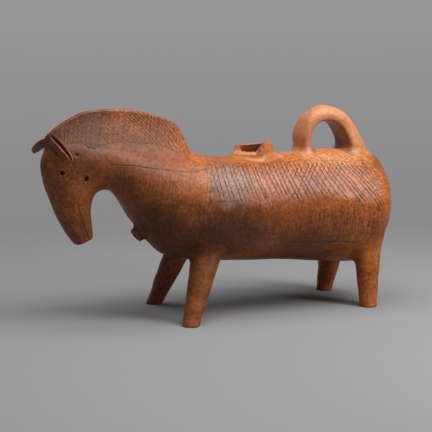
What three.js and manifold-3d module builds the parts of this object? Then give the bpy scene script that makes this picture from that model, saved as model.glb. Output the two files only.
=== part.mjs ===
// A horse-shaped pouring vessel of fired clay. A hollow wheel-made barrel lies on its side, and the
// rump, neck, head, mane, ears, legs, loop handle, filling neck and pouring spout are luted on to it.
// Millimetres, +Z up. The head points to -X and the horse's left side faces -Y.
import * as THREE from 'three';
import { mergeVertices } from 'three/addons/utils/BufferGeometryUtils.js';
import Module from 'manifold-3d';

const wasm = await Module();
wasm.setup();

// Clay
const WALL = 7; // thickness of the hollow walls
const SLIP = 0.3; // layer of slip between two luted pieces

// Barrel and rump
const BELLY_CLEARANCE = 49; // floor to the belly at the waist
const BARREL_HEIGHT = 108.5; // belly to back at the waist
const BARREL_WIDTH = 108;
const BARREL_LENGTH = 158; // neck seam to rump seam
const RUMP_SAG = 6; // how far the belly deepens from the waist to the rump
const RUMP_DEPTH = 36.5; // rump seam to the end of the rump
const RUMP_SQUARENESS = 3.3; // power of the dome's curve: 2 is round, more is flatter
const RUMP_LIFT = 6; // how far the end of the rump lies above the middle of its seam

// Neck
const NECK_LENGTH = 106; // neck seam to the throat
const NECK_RISE = 23; // back to the poll
const THROAT_RISE = 80; // belly to the arch of the throat
const NECK_WIDTH = 50; // at the throat

// Head
const HEAD_DEPTH = 62; // throat to forehead
const HEAD_LENGTH = 103; // poll to the end of the muzzle
const HEAD_WIDTH = 42; // at the brow
const MUZZLE_DEPTH = 18.5; // front to back at the flat end
const MUZZLE_WIDTH = 20;
const MUZZLE_SETBACK = 31; // forehead to the front of the muzzle
const EYE_DIAMETER = 5;
const EYE_DEPTH = 4;

// Mane
const MANE_CREST = 49.5; // back to the highest point of the crest
const MANE_BASE = 28; // thickness inside the neck
const MANE_EDGE = 11; // thickness at the crest
const MANE_SEAT = 14; // how far it would reach into the neck

// Ears
const EAR_LENGTH = 41; // beyond the mane
const EAR_WIDTH = 12;
const EAR_DEPTH = 12;
const EAR_WALL = 3;
const EAR_DROOP = 22; // degrees below level
const LEFT_EAR_SWEEP = 6; // degrees towards the rump
const RIGHT_EAR_SWEEP = -5;

// Filling neck
const FILL_POSITION = 53.4; // behind the neck seam
const FILL_DIAMETER = 40; // outside, at the rim
const FILL_HEIGHT = 10.4; // rim above the back, in its middle
const FILL_TILT = 0.08; // rise of the rim for each millimetre back
const FILL_FLARE = 3; // spread of the root
const BREAK_LENGTH = 30; // of the broken place in the rim
const BREAK_DEPTH = 8.5;
const BREAK_OFFSET = 8.5; // ahead of the filling neck's middle

// Loop handle
const HANDLE_OVERHANG = 12; // rear limb behind the rump seam
const HANDLE_SPAN = 64; // between the limbs along the back
const HANDLE_RISE = 37.5; // back to the middle of the strap at its top
const STRAP_WIDTH = 27;
const STRAP_THICKNESS = 18;

// Pouring spout
const SPOUT_DIAMETER = 14; // at the rim
const SPOUT_BORE = 6;
const SPOUT_LENGTH = 7; // rim above the chest
const SPOUT_FLARE = 4; // spread of the root

// Legs
const SOLE_DIAMETER = 16.5;
const LEG_DIAMETER = 26; // where the leg meets the belly
const FRONT_STANCE = 113; // between the left and right soles
const REAR_STANCE = 94;
const ROOT_SPREAD = 72; // between the left and right legs at the belly
const FRONT_LEFT_SOLE = -39; // behind the neck seam
const FRONT_RIGHT_SOLE = -33;
const FRONT_ROOT = -18;
const REAR_SOLE = 4; // behind the rump seam
const REAR_ROOT = 8;

// Incised strokes: the main ones of the hatching. A lean is millimetres back for each one down.
const STROKE_SPACING = 23;
const STROKE_WIDTH = 1.8;
const STROKE_DEPTH = 0.9;
const LEAN_FRONT = -0.15; // at the neck seam
const LEAN_REAR = 0.45; // at the rump seam
const CROSS_LEAN = -0.55; // of the strokes that cross the others

// Places on the body: station numbers from the list below, and angles in radians from the top.
const SPOUT_STATION = 3.8;
const MANE_START = 2.3;
const MANE_END = 6.85;
const EYE = { place: 7.12, angle: 1.2 };
const CHEEK_HOLE = { place: 6.68, angle: 1.85 };
const FLANK_HATCH = { top: 0.5, end: 1.5 };
const NECK_HATCH = { first: 2.75, last: 4.55, end: 1.95 };
const TOP_BORDER = [[1.95, 0.47], [1, 0.49], [0.4, 0.56], [0.06, 0.66]];
const BOTTOM_BORDER = [[1.95, 2.12], [1, 2.16], [0.06, 2.15]];
const NECK_BAND = [[2.22, 0.61], [2.36, 1.11], [2.45, 1.57], [2.44, 1.95]];
const NECK_LINE = [[2.24, 0.61], [2.43, 0.66], [2.85, 0.77], [3.5, 0.87], [4.3, 1.08], [4.95, 1.36]];

// Facets
const ROUND = 32; // sides of the body's sections
const SMALL_ROUND = 18; // sides of the small round pieces
const STATION_STEPS = 3; // rings from one station to the next
const RUMP_STEPS = 7;
const RUMP_POLE = 0.06; // radians left flat at the end of the rump
const MANE_STEPS = 20;
const EAR_STEPS = 8;
const HANDLE_STEPS = 24;
const LEG_STEPS = 9;
const FLARE_STEPS = 4;
const STROKE_STEPS = 6;

const back = BELLY_CLEARANCE + BARREL_HEIGHT;
const belly = BELLY_CLEARANCE;
const axis = (back + belly) / 2;
const throat = new THREE.Vector2(-NECK_LENGTH, belly + THROAT_RISE);
const poll = back + NECK_RISE;
const forehead = throat.x - HEAD_DEPTH;
const chin = poll - HEAD_LENGTH;
const muzzleFront = forehead + MUZZLE_SETBACK;
const up = new THREE.Vector3(0, 0, 1);
const mix = THREE.MathUtils.lerp;

// A station of the body: the top and bottom points of a section in the XZ plane and its width.
const station = ([topX, topZ], [bottomX, bottomZ], width) => ({
  top: new THREE.Vector2(topX, topZ),
  bottom: new THREE.Vector2(bottomX, bottomZ),
  half: new THREE.Vector2(width / 2, 0),
});
const neckWidth = (share) => mix(BARREL_WIDTH, NECK_WIDTH, share);
const headWidth = (share) => mix(HEAD_WIDTH, MUZZLE_WIDTH, share);

// The stations run from the rump to the muzzle. Between the seams they stand at shares of the sizes of
// the neck and the head, and they fan round the throat.
const stations = [
  station([BARREL_LENGTH, back], [BARREL_LENGTH, belly - RUMP_SAG], BARREL_WIDTH + RUMP_SAG),
  station([BARREL_LENGTH / 2, back], [BARREL_LENGTH / 2, belly], BARREL_WIDTH),
  station([0, back + 0.03 * NECK_RISE], [0, belly], BARREL_WIDTH),
  station([0.34 * throat.x, back + 0.2 * NECK_RISE],
    [0.42 * throat.x, belly + 0.14 * THROAT_RISE], neckWidth(0.3)),
  station([0.7 * throat.x, back + 0.5 * NECK_RISE],
    [0.7 * throat.x, belly + 0.53 * THROAT_RISE], neckWidth(0.66)),
  station([1.04 * throat.x, back + 0.85 * NECK_RISE],
    [0.9 * throat.x, belly + 0.92 * THROAT_RISE], NECK_WIDTH),
  station([throat.x - 0.6 * HEAD_DEPTH, poll],
    [throat.x, throat.y], mix(NECK_WIDTH, HEAD_WIDTH, 0.6)),
  station([forehead, poll - 0.18 * HEAD_LENGTH],
    [throat.x - 0.15 * HEAD_DEPTH, throat.y - 0.04 * HEAD_LENGTH], HEAD_WIDTH),
  station([forehead + 0.1 * MUZZLE_SETBACK, poll - 0.43 * HEAD_LENGTH],
    [throat.x - 0.22 * HEAD_DEPTH, throat.y - 0.14 * HEAD_LENGTH], headWidth(0.15)),
  station([forehead + 0.52 * MUZZLE_SETBACK, poll - 0.77 * HEAD_LENGTH],
    [throat.x - 0.23 * HEAD_DEPTH, throat.y - 0.28 * HEAD_LENGTH], headWidth(0.6)),
  station([muzzleFront, chin],
    [muzzleFront + 0.93 * MUZZLE_DEPTH, chin + 0.36 * MUZZLE_DEPTH], MUZZLE_WIDTH),
];
// Numbers of the stations where pieces and the hollow begin and end.
const RUMP_SEAM = 0;
const NECK_SEAM = 2;
const HEAD_SEAM = 5;
const HOLLOW_END = 9;
const MUZZLE = stations.length - 1;

const rail = (name) => new THREE.SplineCurve(stations.map((each) => each[name]));
const topRail = rail('top');
const bottomRail = rail('bottom');
const halfRail = rail('half');
const along = (number) => number / (stations.length - 1);

const turns = (count) => Array.from({ length: count }, (_, i) => (2 * Math.PI * i) / count);
const steps = (from, to, count) => Array.from({ length: count + 1 }, (_, i) => mix(from, to, i / count));

// The body's section at a station number, whole or not, moved inwards by inset.
function section(number, inset) {
  const top = topRail.getPoint(along(number));
  const bottom = bottomRail.getPoint(along(number));
  return {
    middle: top.clone().add(bottom).multiplyScalar(0.5),
    upward: top.clone().sub(bottom).normalize(),
    high: top.distanceTo(bottom) / 2 - inset,
    half: halfRail.getPoint(along(number)).x - inset,
  };
}

// The point of a section at an angle from its top, towards the horse's left.
function onSection({ middle, upward, high, half }, angle) {
  const rise = high * Math.cos(angle);
  return new THREE.Vector3(middle.x + rise * upward.x, -half * Math.sin(angle), middle.y + rise * upward.y);
}

const sectionRing = (shape) => turns(ROUND).map((angle) => onSection(shape, angle));

// The rump's sections shrink to a pole along a squared-off curve.
function rumpRing(angle, inset) {
  const seam = section(RUMP_SEAM, inset);
  const reach = (RUMP_DEPTH - inset) * Math.sin(angle) ** (2 / RUMP_SQUARENESS);
  const shrink = Math.cos(angle) ** (2 / RUMP_SQUARENESS);
  const middle = new THREE.Vector2(seam.middle.x + reach, seam.middle.y + RUMP_LIFT * (1 - shrink));
  return sectionRing({ ...seam, middle, high: seam.high * shrink, half: seam.half * shrink });
}

const rumpRings = (inset) =>
  steps(Math.PI / 2 - RUMP_POLE, 0, RUMP_STEPS).map((angle) => rumpRing(angle, inset));
const bodyRings = (from, to, inset) => steps(from, to, Math.ceil((to - from) * STATION_STEPS))
  .map((number) => sectionRing(section(number, inset)));

// A manifold solid of a closed geometry, and the other way round.
function toSolid(geometry) {
  geometry.deleteAttribute('normal');
  geometry.deleteAttribute('uv');
  const merged = mergeVertices(geometry, 1e-4);
  return new wasm.Manifold(new wasm.Mesh({
    numProp: 3,
    vertProperties: new Float32Array(merged.attributes.position.array),
    triVerts: new Uint32Array(merged.index.array),
  }));
}

function toGeometry(solid) {
  const { vertProperties, triVerts } = solid.getMesh();
  const geometry = new THREE.BufferGeometry();
  geometry.setAttribute('position', new THREE.BufferAttribute(vertProperties, 3));
  geometry.setIndex(new THREE.BufferAttribute(triVerts, 1));
  geometry.computeVertexNormals();
  return geometry;
}

const middleOf = (ring) =>
  ring.reduce((sum, point) => sum.add(point), new THREE.Vector3()).divideScalar(ring.length);

// A closed solid through a row of rings, which run clockwise seen from beyond the last one.
function loft(rings) {
  const sides = rings[0].length;
  const points = [...rings.flat(), middleOf(rings[0]), middleOf(rings.at(-1))];
  const caps = rings.length * sides;
  const triangles = [];
  for (let side = 0; side < sides; side += 1) {
    const next = (side + 1) % sides;
    const last = caps - sides;
    triangles.push(caps, side, next, caps + 1, last + next, last + side);
    for (let row = 0; row < last; row += sides) {
      triangles.push(row + side, row + sides + next, row + next);
      triangles.push(row + side, row + sides + side, row + sides + next);
    }
  }
  return toSolid(new THREE.BufferGeometry().setFromPoints(points).setIndex(triangles));
}

// The skin is the whole body as one solid, grown by the layer of slip: what is luted on is cut by it.
const skin = loft([...rumpRings(-SLIP), ...bodyRings(RUMP_SEAM, MUZZLE, -SLIP).slice(1)]);
const hollow = loft([...rumpRings(WALL), ...bodyRings(RUMP_SEAM, HOLLOW_END, WALL).slice(1)]);
const shell = (from, to) => loft(bodyRings(from, to, 0)).subtract(hollow);

// The station number just ahead of a seam, with the layer of slip between.
function ahead(number) {
  const step = 0.01;
  const here = section(number, 0).middle;
  return number + (SLIP * step) / here.distanceTo(section(number + step, 0).middle);
}

// A round bar along a line: stops are pairs of distance from the start and radius.
function bar(start, direction, stops) {
  const turn = new THREE.Quaternion().setFromUnitVectors(up, direction);
  return loft(stops.map(([distance, radius]) => turns(SMALL_ROUND).map((angle) =>
    new THREE.Vector3(radius * Math.sin(angle), radius * Math.cos(angle), distance)
      .applyQuaternion(turn)
      .add(start))));
}

// The stops of a stub that spreads towards its root: root is how deep it starts and rim how high it ends.
const flared = (root, rim, radius, flare) => steps(0, 1, FLARE_STEPS)
  .map((rise) => [mix(-root, rim, rise), radius + flare * (1 - rise) ** 2]);

// Filling neck: a flared ring that saddles the back, trimmed by the tilted plane of its rim, with a broken
// place in the rim on the left side.
const fillMiddle = new THREE.Vector3(FILL_POSITION, 0, back);
const fillBore = bar(fillMiddle, up, [
  [axis - back, FILL_DIAMETER / 2 - WALL],
  [FILL_HEIGHT + 2 * WALL, FILL_DIAMETER / 2 - WALL],
]);

function fillingNeck() {
  const root = FILL_DIAMETER / 2 + FILL_FLARE;
  const saddle = BARREL_WIDTH / 2 - Math.sqrt((BARREL_WIDTH / 2) ** 2 - root ** 2);
  const broken = new THREE.SphereGeometry(1, SMALL_ROUND, SMALL_ROUND / 2);
  broken.scale(BREAK_LENGTH / 2, FILL_DIAMETER / 2, BREAK_DEPTH);
  broken.translate(FILL_POSITION - BREAK_OFFSET, -FILL_DIAMETER / 2, back + FILL_HEIGHT);
  const rim = back + FILL_HEIGHT - FILL_TILT * FILL_POSITION;
  const slope = Math.hypot(FILL_TILT, 1);
  return bar(fillMiddle, up, flared(saddle + WALL / 2, FILL_HEIGHT + WALL, FILL_DIAMETER / 2, FILL_FLARE))
    .trimByPlane([FILL_TILT / slope, 0, -1 / slope], -rim / slope)
    .subtract(fillBore)
    .subtract(toSolid(broken))
    .subtract(skin);
}

// Pouring spout: a stub that stands square on the chest, with a bore through the wall behind it.
const spoutFoot = onSection(section(SPOUT_STATION, 0), Math.PI);
const chestLine = bottomRail.getTangent(along(SPOUT_STATION));
const spoutWay = new THREE.Vector3(-chestLine.y, 0, chestLine.x).normalize();
const spoutBore = bar(spoutFoot, spoutWay, [
  [-2 * WALL, SPOUT_BORE / 2],
  [SPOUT_LENGTH + WALL, SPOUT_BORE / 2],
]);
const chestSpout = () =>
  bar(spoutFoot, spoutWay, flared(WALL, SPOUT_LENGTH, SPOUT_DIAMETER / 2, SPOUT_FLARE))
    .subtract(spoutBore)
    .subtract(skin);

// The eyes and the holes in the cheeks are pushed in square to the head's side and stop in the wall.
function pricks() {
  return [EYE, CHEEK_HOLE].flatMap(({ place, angle }) => [angle, -angle].map((turn) => {
    const deep = onSection(section(place, EYE_DEPTH), turn);
    const way = onSection(section(place, 0), turn).sub(deep).normalize();
    return bar(deep, way, [[0, EYE_DIAMETER / 2], [2 * EYE_DEPTH, EYE_DIAMETER / 2]]);
  }));
}

// Mane: a fin whose root lies inside the neck and whose crest is a free curve from withers to crown,
// given as shares of its length and of its height above the back.
const withers = topRail.getPoint(along(MANE_START)).x;
const crown = topRail.getPoint(along(MANE_END)).x;
const crest = new THREE.SplineCurve([
  [0, -0.05], [0.06, 0.36], [0.12, 0.7], [0.29, 0.91], [0.5, 1], [0.72, 0.95], [0.9, 0.69], [1, 0.54],
].map(([reach, rise]) => new THREE.Vector2(mix(withers, crown, reach), back + rise * MANE_CREST)));

// A number between -1 and 1 raised to a power, with its sign kept.
const bent = (value, power) => Math.sign(value) * Math.abs(value) ** power;

// A section of the fin: an oval with a blunt top, which thins from its base to its crest.
function maneRing(part, grow) {
  const top = crest.getPoint(part);
  const root = section(mix(MANE_START, MANE_END, part), MANE_SEAT);
  const bottom = root.middle.clone().addScaledVector(root.upward, root.high);
  const rise = top.clone().sub(bottom);
  return turns(SMALL_ROUND).map((angle) => {
    const high = (1 + bent(Math.cos(angle), 0.7)) / 2;
    const half = mix(MANE_EDGE, MANE_BASE, (1 - high) ** 1.5) / 2 + grow;
    const point = bottom.clone().addScaledVector(rise, high * (1 + grow / rise.length()));
    return new THREE.Vector3(point.x, -half * bent(Math.sin(angle), 0.6), point.y);
  });
}

const mane = (grow) => loft(steps(0, 1, MANE_STEPS).map((part) => maneRing(part, grow)));
const maneSkin = mane(SLIP);

// Ear: a folded leaf that leaves the front end of the mane sideways and droops, open along its top. Its
// groove is a thinner leaf, lifted out of it, that stops short of the tip.
const EAR_PLACE = 0.91; // along the crest
const EAR_SINK = 0.6; // of its depth below the crest
const EAR_TIP = 0.4; // of its width and depth at the root
const EAR_ROOT = -0.08; // of its length, inside the mane
const GROOVE_END = 0.93; // of its length

function ear(side, sweepDegrees) {
  const droop = THREE.MathUtils.degToRad(EAR_DROOP);
  const sweep = THREE.MathUtils.degToRad(sweepDegrees);
  const way = new THREE.Vector3(Math.sin(sweep), side * Math.cos(sweep), -Math.tan(droop)).normalize();
  const across = new THREE.Vector3().crossVectors(up, way).normalize();
  const open = new THREE.Vector3().crossVectors(way, across);
  const end = crest.getPoint(EAR_PLACE);
  const root = new THREE.Vector3(end.x, (side * MANE_EDGE) / 2, end.y - EAR_SINK * EAR_DEPTH);
  const leaf = (inset, lift, from, to) => loft(steps(from, to, EAR_STEPS).map((part) => {
    const taper = mix(1, EAR_TIP, Math.max(part, 0) ** 3);
    const middle = root.clone().addScaledVector(way, part * EAR_LENGTH);
    return turns(SMALL_ROUND).map((angle) => middle.clone()
      .addScaledVector(across, taper * (EAR_WIDTH / 2 - inset) * Math.sin(angle))
      .addScaledVector(open, taper * ((EAR_DEPTH / 2 - inset) * Math.cos(angle) + lift)));
  }));
  return leaf(0, 0, EAR_ROOT, 1)
    .subtract(leaf(EAR_WALL, EAR_DEPTH / 3, 2 * EAR_ROOT, GROOVE_END))
    .subtract(maneSkin)
    .subtract(skin);
}

// Loop handle: a strap with rounded edges that rises from the back and comes down on the edge of the rump.
// Its path is given as shares of its span and of its rise above the back.
function loopHandle() {
  const path = new THREE.SplineCurve([
    [-0.02, -0.4], [0, 0], [0.025, 0.49], [0.17, 0.88], [0.43, 1], [0.66, 0.88], [0.83, 0.56], [1, 0],
    [1.1, -0.4],
  ].map(([reach, rise]) => new THREE.Vector2(
    BARREL_LENGTH + HANDLE_OVERHANG + (reach - 1) * HANDLE_SPAN, back + rise * HANDLE_RISE)));
  return loft(steps(0, 1, HANDLE_STEPS).map((part) => {
    const middle = path.getPoint(part);
    const tangent = path.getTangent(part);
    return turns(SMALL_ROUND).map((angle) => {
      const out = (STRAP_THICKNESS / 2) * bent(Math.cos(angle), 0.8);
      const side = (STRAP_WIDTH / 2) * bent(Math.sin(angle), 0.7);
      return new THREE.Vector3(middle.x - out * tangent.y, side, middle.y + out * tangent.x);
    });
  })).subtract(skin);
}

// Leg: a round taper with a level sole, which leans in from the sole to the belly and on to the axis.
function leg(side, stance, soleX, rootX) {
  const sole = new THREE.Vector3(soleX, (side * stance) / 2, 0);
  const root = new THREE.Vector3(rootX, (side * ROOT_SPREAD) / 2, belly);
  return loft(steps(0, axis / belly, LEG_STEPS).map((rise) => {
    const middle = sole.clone().lerp(root, rise);
    const radius = mix(SOLE_DIAMETER, LEG_DIAMETER, rise ** 1.25) / 2;
    return turns(SMALL_ROUND).map((angle) =>
      new THREE.Vector3(radius * Math.sin(angle), radius * Math.cos(angle), 0).add(middle));
  })).subtract(skin);
}

// Stroke: a V-shaped cut along the skin through places, which are pairs of station number and angle.
function stroke(places) {
  const points = places.map(([number, angle]) => onSection(section(number, 0), angle));
  return loft(places.map(([number], i) => {
    const { middle } = section(number, 0);
    const outward = points[i].clone().sub(new THREE.Vector3(middle.x, 0, middle.y)).normalize();
    const way = points[Math.min(i + 1, points.length - 1)].clone().sub(points[Math.max(i - 1, 0)]);
    const edge = outward.clone().cross(way).normalize().multiplyScalar(STROKE_WIDTH);
    const lifted = points[i].clone().addScaledVector(outward, STROKE_DEPTH);
    const bottom = points[i].clone().addScaledVector(outward, -STROKE_DEPTH);
    return [lifted.clone().sub(edge), lifted.add(edge), bottom];
  }));
}

// A stroke and the same one on the horse's right side, both drawn from front to rear or from top to bottom.
const bothSides = (places) => [1, -1].map((side) =>
  stroke(places.map(([number, angle]) => [number, side * angle])));

// The flank's strokes lean more the further back they are, and each is crossed by one that leans forwards.
function flankStrokes() {
  const drop = (BARREL_WIDTH / 2) * (FLANK_HATCH.end - FLANK_HATCH.top);
  const clear = 0.05; // stations left plain beside the seams
  const leaning = (start, lean) => steps(0, 1, STROKE_STEPS).map((part) => {
    const number = NECK_SEAM * (1 - (start + lean * drop * part) / BARREL_LENGTH);
    const angle = mix(FLANK_HATCH.top, FLANK_HATCH.end, part);
    return [THREE.MathUtils.clamp(number, clear, NECK_SEAM - clear), angle];
  });
  const count = Math.floor(BARREL_LENGTH / STROKE_SPACING);
  return steps(0.5, count - 0.5, count - 1).map((place) => place * STROKE_SPACING).flatMap((start) => [
    ...bothSides(leaning(start, mix(LEAN_FRONT, LEAN_REAR, start / BARREL_LENGTH))),
    ...bothSides(leaning(start, CROSS_LEAN)),
  ]);
}

// The neck's strokes hang upright from its line. The line's angle at a station lies between its places.
function neckStrokes() {
  const lineAngle = (number) => {
    const after = NECK_LINE.findIndex(([place]) => place > number);
    const [from, to] = [NECK_LINE[after - 1], NECK_LINE[after]];
    return mix(from[1], to[1], (number - from[0]) / (to[0] - from[0]));
  };
  const hang = (number) => steps(lineAngle(number) + 0.03, NECK_HATCH.end, STROKE_STEPS)
    .map((angle) => [number, angle]);
  const count = Math.round((0.6 * NECK_LENGTH) / STROKE_SPACING);
  return steps(NECK_HATCH.first, NECK_HATCH.last, count).flatMap((number) => bothSides(hang(number)));
}

const cutBy = (solid, cuts) => cuts.reduce((left, cut) => left.subtract(cut), solid);

const LEFT = -1;
const RIGHT = 1;
const frontLeg = (side, soleX) => leg(side, FRONT_STANCE, soleX, FRONT_ROOT);
const rearLeg = (side) => leg(side, REAR_STANCE, BARREL_LENGTH + REAR_SOLE, BARREL_LENGTH + REAR_ROOT);

const rhyton = new THREE.Group();
function addPiece(name, solid, color) {
  const clay = new THREE.MeshStandardMaterial({ color, roughness: 0.6, metalness: 0 });
  const mesh = new THREE.Mesh(toGeometry(solid), clay);
  mesh.name = name;
  rhyton.add(mesh);
}

const barrel = cutBy(shell(ahead(RUMP_SEAM), NECK_SEAM).subtract(fillBore),
  [...flankStrokes(), ...bothSides(TOP_BORDER), ...bothSides(BOTTOM_BORDER)]);
const neck = cutBy(shell(ahead(NECK_SEAM), HEAD_SEAM).subtract(spoutBore),
  [...neckStrokes(), ...bothSides(NECK_BAND), ...bothSides(NECK_LINE)]);
const head = cutBy(shell(ahead(HEAD_SEAM), MUZZLE), pricks());
addPiece('body_barrel', barrel, 0x8f5f40);
addPiece('rump_cap', loft(rumpRings(0)).subtract(hollow), 0x8a5836);
addPiece('neck', neck, 0x80512f);
addPiece('head', head, 0x7a4722);
addPiece('mane_crest', mane(0).subtract(skin), 0x8e5f41);
addPiece('left_ear', ear(LEFT, LEFT_EAR_SWEEP), 0x7a4a2a);
addPiece('right_ear', ear(RIGHT, RIGHT_EAR_SWEEP), 0x7a4a2a);
addPiece('filling_neck', fillingNeck(), 0x96562e);
addPiece('loop_handle', loopHandle(), 0xa05a2c);
addPiece('chest_spout', chestSpout(), 0x6d4120);
addPiece('front_left_leg', frontLeg(LEFT, FRONT_LEFT_SOLE), 0x8a5230);
addPiece('front_right_leg', frontLeg(RIGHT, FRONT_RIGHT_SOLE), 0x8a5230);
addPiece('rear_left_leg', rearLeg(LEFT), 0x8a5230);
addPiece('rear_right_leg', rearLeg(RIGHT), 0x8a5230);

// The origin is on the floor, under the middle of the vessel's box.
const box = new THREE.Box3().setFromObject(rhyton);
rhyton.position.set(-(box.min.x + box.max.x) / 2, 0, -box.min.z);

export default rhyton;
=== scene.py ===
"""Horse-shaped pouring vessel of burnished clay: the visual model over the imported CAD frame.

The vessel's skin is one surface of two numbers: a station along the body, from the pole of the rump (-1)
over the barrel (0 to 2) and the neck (2 to 5) to the muzzle (10), and an angle round the section, counted
from the line of the back. Shapes are worked out in millimetres and put into the meshes in metres.
"""

from types import SimpleNamespace

import bpy
import numpy as np
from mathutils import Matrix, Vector


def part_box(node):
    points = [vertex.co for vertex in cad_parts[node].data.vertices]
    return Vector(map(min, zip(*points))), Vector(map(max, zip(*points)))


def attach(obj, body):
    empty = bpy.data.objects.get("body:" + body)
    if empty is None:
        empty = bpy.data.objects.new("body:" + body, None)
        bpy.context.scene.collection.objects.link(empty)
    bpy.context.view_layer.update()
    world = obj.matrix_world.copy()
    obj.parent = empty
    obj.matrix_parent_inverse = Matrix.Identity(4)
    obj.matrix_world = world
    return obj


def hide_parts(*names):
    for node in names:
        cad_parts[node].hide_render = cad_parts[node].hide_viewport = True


bl_info = {
    "name": "Horse-shaped clay vessel",
    "version": (1, 0, 0),
    "blender": (4, 5, 0),
    "location": "3D View > Sidebar > Clay vessel",
    "description": "Builds the burnished clay horse piece by piece over its CAD frame",
    "category": "Add Mesh",
}

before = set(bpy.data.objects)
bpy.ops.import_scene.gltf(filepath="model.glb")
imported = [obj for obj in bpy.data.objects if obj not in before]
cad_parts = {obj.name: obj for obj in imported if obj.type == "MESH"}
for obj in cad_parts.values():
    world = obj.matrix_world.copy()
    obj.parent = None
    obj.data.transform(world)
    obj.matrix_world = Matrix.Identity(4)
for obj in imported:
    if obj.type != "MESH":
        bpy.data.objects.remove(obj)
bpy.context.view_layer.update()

MM = 0.001
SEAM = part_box("body_barrel")[0][0] / MM  # x of the neck seam, where the barrel's own lengths start
WALL = 7.0  # thickness of the clay
BARREL_RADIUS = 54.0
BACK, BELLY, AXIS = 157.5, 49.0, 103.25  # heights of the back, the belly and the barrel's axis
RUMP_DEPTH, RUMP_LIFT = 36.0, 10.0  # from the rump's seam to its pole, and the pole's height over the axis
SIDE_SQUARE, BACK_SQUARE = 3.2, 0.8  # power of the rump's curve at its sides, and how much more above
MUZZLE_SQUARE, ROUND_END, SQUARE_END = 0.35, 8.2, 9.8  # squaring of the muzzle, and its stations
PAD_RISE, PAD_STATION, PAD_HALF = 2.4, 0.42, 0.33  # pad of clay under the handle
RUMP_FINE, RUMP_INNER = 36.0, 40.0  # how far behind the seam the rump's two grids are fine
RUMP_SEAM, NECK_SEAM, HEAD_SEAM, HOLLOW_END, MUZZLE = 0, 2, 5, 9, 10
FINE, COARSE = 0.72, 2.6  # grid steps on the hatched flanks and elsewhere
SNAP = 0.4  # a grid point this near to a stroke is moved on to it

# Stations from the rump to the muzzle: top x, top z, bottom x, bottom z, width
STATIONS = np.array([
    [158.0, 157.5, 158.0, 39.8, 114.0],
    [79.0, 157.3, 79.0, 48.2, 108.0],
    [0.0, 156.0, 0.0, 52.8, 108.0],
    [-36.0, 161.4, -44.5, 61.0, 90.6],
    [-74.2, 169.0, -73.8, 92.2, 69.7],
    [-110.2, 177.1, -95.0, 122.8, 50.0],
    [-143.2, 180.5, -106.2, 128.5, 45.2],
    [-165.2, 167.5, -115.3, 124.9, 42.0],
    [-166.4, 140.5, -119.6, 114.6, 38.7],
    [-151.6, 101.2, -120.3, 100.2, 28.8],
    [-136.0, 77.1, -119.6, 83.8, 20.0],
])


# Sizes and colours that a user would change

def linear(code):
    """Linear red, green, blue of an sRGB hex colour: c / 12.92 below 0.04045, else
    ((c + 0.055) / 1.055) ^ 2.4."""
    parts = np.array([int(code[i:i + 2], 16) for i in (1, 3, 5)]) / 255
    return tuple(np.where(parts <= 0.04045, parts / 12.92, ((parts + 0.055) / 1.055) ** 2.4))


def length(name, description, default):
    """A length in metres for the panel."""
    return bpy.props.FloatProperty(name=name, description=description, default=default, min=0.0, precision=5,
                                   unit="LENGTH")


def colour(name, description, default):
    """A colour for the panel, from its sRGB hex value."""
    return bpy.props.FloatVectorProperty(name=name, description=description, default=linear(default),
                                         min=0.0, max=1.0, subtype="COLOR")


class VesselSizes(bpy.types.PropertyGroup):
    """Sizes of the finish and of the luted joints."""

    groove_depth: length("Groove depth", "Depth of the incised strokes", 0.00035)
    groove_width: length("Groove half width", "Half the width of an incised stroke", 0.0006)
    flank_spacing: length("Flank spacing", "Distance between the strokes on the flanks", 0.0047)
    neck_spacing: length("Neck spacing", "Distance between the strokes on the neck", 0.0031)
    mane_spacing: length("Mane spacing", "Distance between the strokes on the mane", 0.0039)
    hand_lumps: length("Hand lumps", "Unevenness left by shaping the clay by hand", 0.00035)
    leg_fillet: length("Leg fillet", "Radius of the clay smoothed round a leg's root", 0.0078)
    handle_fillet: length("Handle fillet", "Radius of the clay smoothed round the handle's roots", 0.0065)
    mouth_fillet: length("Mouth fillet", "Radius of the clay smoothed round the filling neck", 0.0045)
    spout_fillet: length("Spout fillet", "Radius of the clay smoothed round the chest spout", 0.005)


class VesselColours(bpy.types.PropertyGroup):
    """Colours of the clay and of the studio."""

    orange_clay: colour("Orange clay", "Clay fired in clear air", "#bb6a30")
    brown_clay: colour("Brown clay", "Clay fired with little air", "#874719")
    # also painted shade on the belly, the front legs, the rump's end and in part the chest
    dark_clay_and_shade: colour("Dark clay", "Clay browned by smoke", "#4a240e")
    smoke: colour("Smoke", "Grey cloud where the fire touched the clay", "#83766c")
    # earth in the strokes; the same colour also paints shade in the holes, the ear's fold, the bore, the
    # break and under the handle
    dirt_and_shade_colour: colour("Dirt", "Earth left in the strokes", "#2c1408")
    # also painted light on the break's low edge and, in part, a painted highlight on the handle
    broken_clay_and_painted_light: colour("Broken clay", "Clay inside the wall, seen at the break", "#d08c60")
    paper: colour("Backdrop paper", "Floor and backdrop", "#8e8e8e")


# The skin of the body

def mix(a, b, share):
    """Straight line from a to b."""
    return a + (b - a) * share


def smooth(low, high, value):
    """Rises from 0 at low to 1 at high along 3t^2 - 2t^3."""
    t = np.clip((value - low) / (high - low), 0, 1)
    return t * t * (3 - 2 * t)


def within(value, first, start, stop, last):
    """1 from start to stop, smoothly down to 0 at first and at last."""
    return smooth(first, start, value) * (1 - smooth(stop, last, value))


def bent(value, power):
    """A number between -1 and 1 raised to a power, with its sign kept."""
    return np.sign(value) * np.abs(value) ** power


def dot(a, b):
    """Scalar product."""
    return (a * b).sum(-1)


def unit(ways):
    """Directions brought to length 1."""
    return ways / np.maximum(np.linalg.norm(ways, axis=-1, keepdims=True), 1e-12)


def circle(columns):
    """Even angles round a ring."""
    return np.linspace(0, 2 * np.pi, columns, endpoint=False)


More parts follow.
